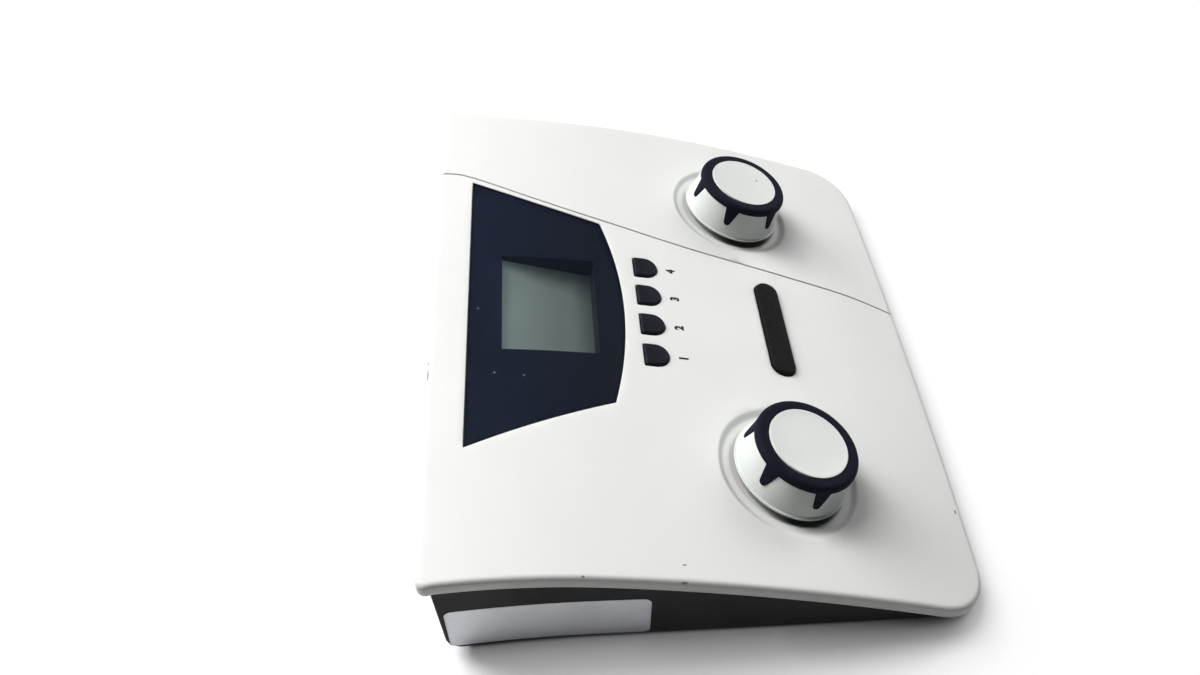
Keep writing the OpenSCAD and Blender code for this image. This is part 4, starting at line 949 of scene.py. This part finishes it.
def build_knob(label, knob_x, turn):
    body = f"{label}_knob"
    here = deck_matrix(knob_x)
    spigot = KNOB_H - CAP_T
    skirt = filleted(
        [(BORE_R, KNOB_GAP), (HUB_R, KNOB_GAP), (HUB_R, HOLLOW_H), (HOLLOW_TOP_R, HOLLOW_H),
         (HOLLOW_R, KNOB_GAP), (FLANGE_R, KNOB_GAP), (FLANGE_R, SKIRT_LOW), (SKIRT_BOTTOM_R + 0.1, SKIRT_LOW),
         (SKIRT_BOTTOM_R - 0.12, SKIRT_LOW + 0.4), (SKIRT_TOP_R, COLLAR_LOW), (SPIGOT_R, COLLAR_LOW),
         (SPIGOT_R, spigot - 0.05), (BORE_R, spigot - 0.05)],
        (0, 0.2, 0.5, 0.5, 0.2, 0.3, 0.45, 0.12, 0.25, 0.1, 0.2, 0.2, 0))
    verts, faces = revolve(skirt + [skirt[0]])
    obj = make(f"{label}_skirt", placed(verts, here), faces, MAT["knob"], body,
               [f"{label}_knob_skirt"], weld=0.002)
    back = here.inverted()
    heights = np.array([(back @ (v.co / MM)).z for v in obj.data.vertices])
    # Mask of painted shade on the flange's lower edge
    shade(obj, "gap", np.clip((KNOB_GAP + 0.55 - heights) / 0.3, 0, 1))
    verts, faces = collar_mesh()
    spin = here @ Matrix.Rotation(math.radians(turn), 4, "Z")
    make(f"{label}_collar", placed(verts, spin), faces, MAT["collar"], body,
         [f"{label}_knob_collar"], sharp=60, weld=0.01)
    rim, top = CAP_R - 0.45, KNOB_H - 0.02
    cap = filleted([(0.0, spigot + 0.05), (CAP_R, spigot + 0.05), (CAP_R, KNOB_H - 0.4), (rim, KNOB_H)],
                   (0, 0.2, 0.25, 0))
    cap[-1:] = filleted([(CAP_R, KNOB_H - 0.5), (CAP_R - 0.05, top), (rim - 0.6, top)], (0, 0.4, 0), 7)[1:]
    for s in np.linspace(0.94, 0, 14):
        cap.append((rim * s, top - CAP_HOLLOW * (1 - s * s)))
    verts, faces = revolve(cap)
    make(f"{label}_disc", placed(verts, here), faces, MAT["knob"], body,
         [f"{label}_knob_cap"], weld=0.002)


# ---------------------------------------------------------------- keys and tone bar
def build_cap(name, shape, x, u, y, length, proud, dome, material, body, node):
    """A key's cap: rounded upper edge, slightly domed top, and the flange that holds it in."""
    lean = math.atan(surface_slope(y)) - DECK_TILT
    flange_top = deck_w(y + length / 2 + KEY_FLANGE) - TOP_WALL * COS - KEY_GAP
    tilt = Matrix.Translation((0, 0, deck_w(y))) @ Matrix.Rotation(lean, 4, "X")
    low = [(px, py, flange_top - KEY_FLANGE_T) for px, py in shape(KEY_FLANGE)]
    rings = [[(px * 0.02, py * 0.02, pz) for px, py, pz in low], low]
    rings += [[(px, py, flange_top) for px, py in shape(grow)] for grow in (KEY_FLANGE, 0)]
    for a in np.radians((0, 18, 36, 54, 72, 90)):
        inset = KEY_BEVEL * (1 - math.cos(a))
        h = proud - KEY_BEVEL + KEY_BEVEL * math.sin(a)
        rings.append([(tilt @ Vector((px, py, h)))[:] for px, py in shape(-inset)])
    inner = shape(-KEY_BEVEL)
    mid = inner.mean(0)
    for s in (0.92, 0.8, 0.62, 0.42, 0.2, 0.02):
        h = proud + dome * (1 - s * s)
        rings.append([(tilt @ Vector((*(mid + (p - mid) * s), h)))[:] for p in inner])
    verts, faces = skin(rings)
    n = len(rings[0])
    last = (len(rings) - 1) * n
    faces += [tuple(range(n))[::-1], tuple(range(last, last + n))]
    make(name, placed(verts, deck_matrix(x, u)), faces, material, body, [node], sharp=48, weld=0.0005)


def build_keys():
    for i, x in enumerate(KEY_XS, 1):
        build_cap(f"key_cap_{i}", key_shape, x, KEY_U, KEY_Y, KEY_L, KEY_PROUD, KEY_DOME, MAT["key"],
                  f"key_{i}", f"function_button_{i}")
    build_cap("tone_bar_cap", bar_shape, 0, BAR_U, BAR_Y, BAR_W, BAR_PROUD, BAR_DOME, MAT["bar"],
              "tone", "tone_bar")


# ---------------------------------------------------------------- print and sticker
def build_digit(digit, key_x):
    """A printed digit that follows the cover."""
    curve = bpy.data.curves.new(f"digit_{digit}", "FONT")
    curve.body = str(digit)
    curve.size = 1.0
    curve.offset = DIGIT_BOLD
    text = bpy.data.objects.new(f"digit_{digit}_text", curve)
    bpy.context.scene.collection.objects.link(text)
    bpy.context.view_layer.update()
    flat = bpy.data.meshes.new_from_object(text.evaluated_get(bpy.context.evaluated_depsgraph_get()))
    bpy.data.objects.remove(text)
    co = np.array([v.co[:2] for v in flat.vertices])
    lo, hi = co.min(0), co.max(0)
    scale = DIGIT_H / (hi[1] - lo[1])
    co = (co - (lo + hi) / 2) * scale * (DIGIT_WIDTH, 1) + (key_x, DIGIT_Y)
    points = [(x, y, surface_z(y) + PRINT_LIFT) for x, y in co]
    faces = [tuple(p.vertices) for p in flat.polygons]
    make(f"key_number_{digit}", points, faces, MAT["ink"], "housing")


def build_sticker():
    """Blank sticker on the tray's left wall."""
    length, height, r = STICKER_REAR - STICKER_FRONT, STICKER_HIGH - STICKER_LOW, STICKER_CORNER
    loop = []
    for cx, cy, a0 in ((r, r, 180), (length - r, r, 270), (length - r, height - r, 0), (r, height - r, 90)):
        loop += [(cx + r * math.cos(math.radians(a0 + a)), cy + r * math.sin(math.radians(a0 + a)))
                 for a in np.linspace(0, 90, 9)]
    loop = spaced(np.array(loop), 3.0)
    grid = field_points(loop, 3.0, 3.0, 1.2)
    verts, faces = triangulate([loop, shrunk(loop, 0.25), shrunk(loop, 0.8)], [], grid, loop, [])
    points = []
    for u, v in verts:
        # Stuck on a little askew, with the rear end higher than the front end
        y = STICKER_FRONT + u + 0.02 * (v - 11.5)
        z = STICKER_LOW + v + 0.027 * (u - 32)
        wall_top = surface_z(y) - TRAY_SIDE_DROP
        inset = np.interp(z, (*TRAY_LOW_Z, wall_top), (*TRAY_LOW_INSET, TRAY_INSET))
        points.append((-side_x(y, inset) - 0.1, y, z))
    obj = make("side_sticker", points, [tuple(f[::-1]) for f in faces], MAT["sticker"], "housing")
    shade(obj, "edge", np.clip(1 - distance(verts, loop)[0] / 0.5, 0, 1))


# ---------------------------------------------------------------- CAD pieces that stay
CAD_FINISH = {
    "tray": ["base_tray"],
    "lcd": ["lcd_glass"],
    "board": ["control_board", "audio_board"],
    "ribbon": ["ribbon_cable"],
    "can": ["capacitors"],
    "metal": ["lcd_bezel", "jack_nuts", "cover_screws", "control_screws", "audio_screws", "level_shaft",
              "frequency_shaft"],
    "plunger": ["tone_plunger_left", "tone_plunger_right"] + [f"key_plunger_{i}" for i in range(1, 5)],
    "foot": [f"{corner}_foot" for corner in ("front_left", "front_right", "rear_left", "rear_right")],
    "black": ["level_encoder", "frequency_encoder", "left_phone_jack", "right_phone_jack", "response_jack",
              "dc_inlet", "power_switch_frame", "power_rocker", "ribbon_headers", "audio_chips",
              "tone_switch_left", "tone_switch_right"] + [f"key_switch_{i}" for i in range(1, 5)],
}


def finish_cad():
    for finish, names in CAD_FINISH.items():
        for name in names:
            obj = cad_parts[name]
            for slot in obj.material_slots:
                slot.material = MAT[finish]
            if not obj.material_slots:
                obj.data.materials.append(MAT[finish])


# ---------------------------------------------------------------- stage, lights and camera
FLOOR_HALF_M = 4.0
LIGHT_AIM = Vector((0, 0, 0.02))
HORIZON, OVERHEAD, FILL = (1, 1, 1), (0.055, 0.075, 0.12), (0.012, 0.012, 0.0125)


def build_stage():
    mesh = bpy.data.meshes.new("floor")
    corners = [(x * FLOOR_HALF_M, y * FLOOR_HALF_M, 0) for x, y in ((-1, -1), (1, -1), (1, 1), (-1, 1))]
    mesh.from_pydata(corners, [], [(0, 1, 2, 3)])
    mesh.materials.append(floor_material())
    floor = bpy.data.objects.new("floor", mesh)
    bpy.context.scene.collection.objects.link(floor)


def area_light(name, place, size, watts):
    light = bpy.data.lights.new(name, "AREA")
    light.shape = "DISK"
    light.size = size
    light.energy = watts
    obj = bpy.data.objects.new(name, light)
    obj.location = place
    obj.rotation_euler = (LIGHT_AIM - Vector(place)).to_track_quat("-Z", "Y").to_euler()
    bpy.context.scene.collection.objects.link(obj)


def build_world():
    """Sky that is pale near the horizon and dimmer overhead, and gives the object a low even fill."""
    world = bpy.data.worlds.new("studio")
    bpy.context.scene.world = world
    world.use_nodes = True
    nodes, join = world.node_tree.nodes, world.node_tree.links.new
    split = nodes.new("ShaderNodeSeparateXYZ")
    join(nodes.new("ShaderNodeTexCoord").outputs["Generated"], split.inputs[0])
    sky = nodes.new("ShaderNodeValToRGB")
    for stop, place, color in zip(sky.color_ramp.elements, (0.05, 0.5), (HORIZON, OVERHEAD)):
        stop.position, stop.color = place, (*color, 1)
    join(split.outputs["Z"], sky.inputs[0])
    fill = nodes.new("ShaderNodeMix")
    fill.data_type = "RGBA"
    fill.inputs[6].default_value = (*FILL, 1)
    path = nodes.new("ShaderNodeLightPath")
    seen = path.outputs["Is Camera Ray"]
    for ray in ("Is Glossy Ray", "Is Transmission Ray"):
        most = nodes.new("ShaderNodeMath")
        most.operation = "MAXIMUM"
        join(seen, most.inputs[0])
        join(path.outputs[ray], most.inputs[1])
        seen = most.outputs[0]
    join(seen, fill.inputs[0])
    join(sky.outputs[0], fill.inputs[7])
    join(fill.outputs[2], nodes["Background"].inputs["Color"])


CAMERA_AT = Vector((-259.92, 50.68, 307.34)) * MM
CAMERA_AIM = Vector((23.56, 29.38, 0.0)) * MM
CAMERA_ROLL = -0.08316
FOCAL_PX, IMAGE_W, SENSOR_MM = 1013.43, 1200, 36.0


def build_camera():
    camera = bpy.data.cameras.new("camera")
    camera.sensor_width = SENSOR_MM
    camera.lens = FOCAL_PX * SENSOR_MM / IMAGE_W
    camera.clip_start, camera.clip_end = 0.01, 20
    forward = (CAMERA_AIM - CAMERA_AT).normalized()
    right = forward.cross(Vector((1, 0, 0))).normalized()
    up = right.cross(forward)
    c, s = math.cos(CAMERA_ROLL), math.sin(CAMERA_ROLL)
    right, up = right * c + up * s, up * c - right * s
    turn = Matrix((right, up, -forward)).transposed()
    obj = bpy.data.objects.new("camera", camera)
    obj.matrix_world = Matrix.Translation(CAMERA_AT) @ turn.to_4x4()
    bpy.context.scene.collection.objects.link(obj)
    bpy.context.scene.camera = obj


build_cover()
build_window()
build_knob("level", -KNOB_X, LEVEL_TURN)
build_knob("frequency", KNOB_X, FREQUENCY_TURN)
build_keys()
for number, key_x in enumerate(KEY_XS, 1):
    build_digit(number, key_x)
build_sticker()
finish_cad()

build_stage()
area_light("rear_key", (0.8, 1.4, 1.3), 1.2, 42)
area_light("top_key", (0.6, 0.85, 1.95), 1.0, 30)
area_light("front_rim", (0.7, -0.75, 0.6), 0.6, 3.5)
build_world()
build_camera()
bpy.context.scene.view_settings.view_transform = "Standard"

bpy.context.view_layer.update()
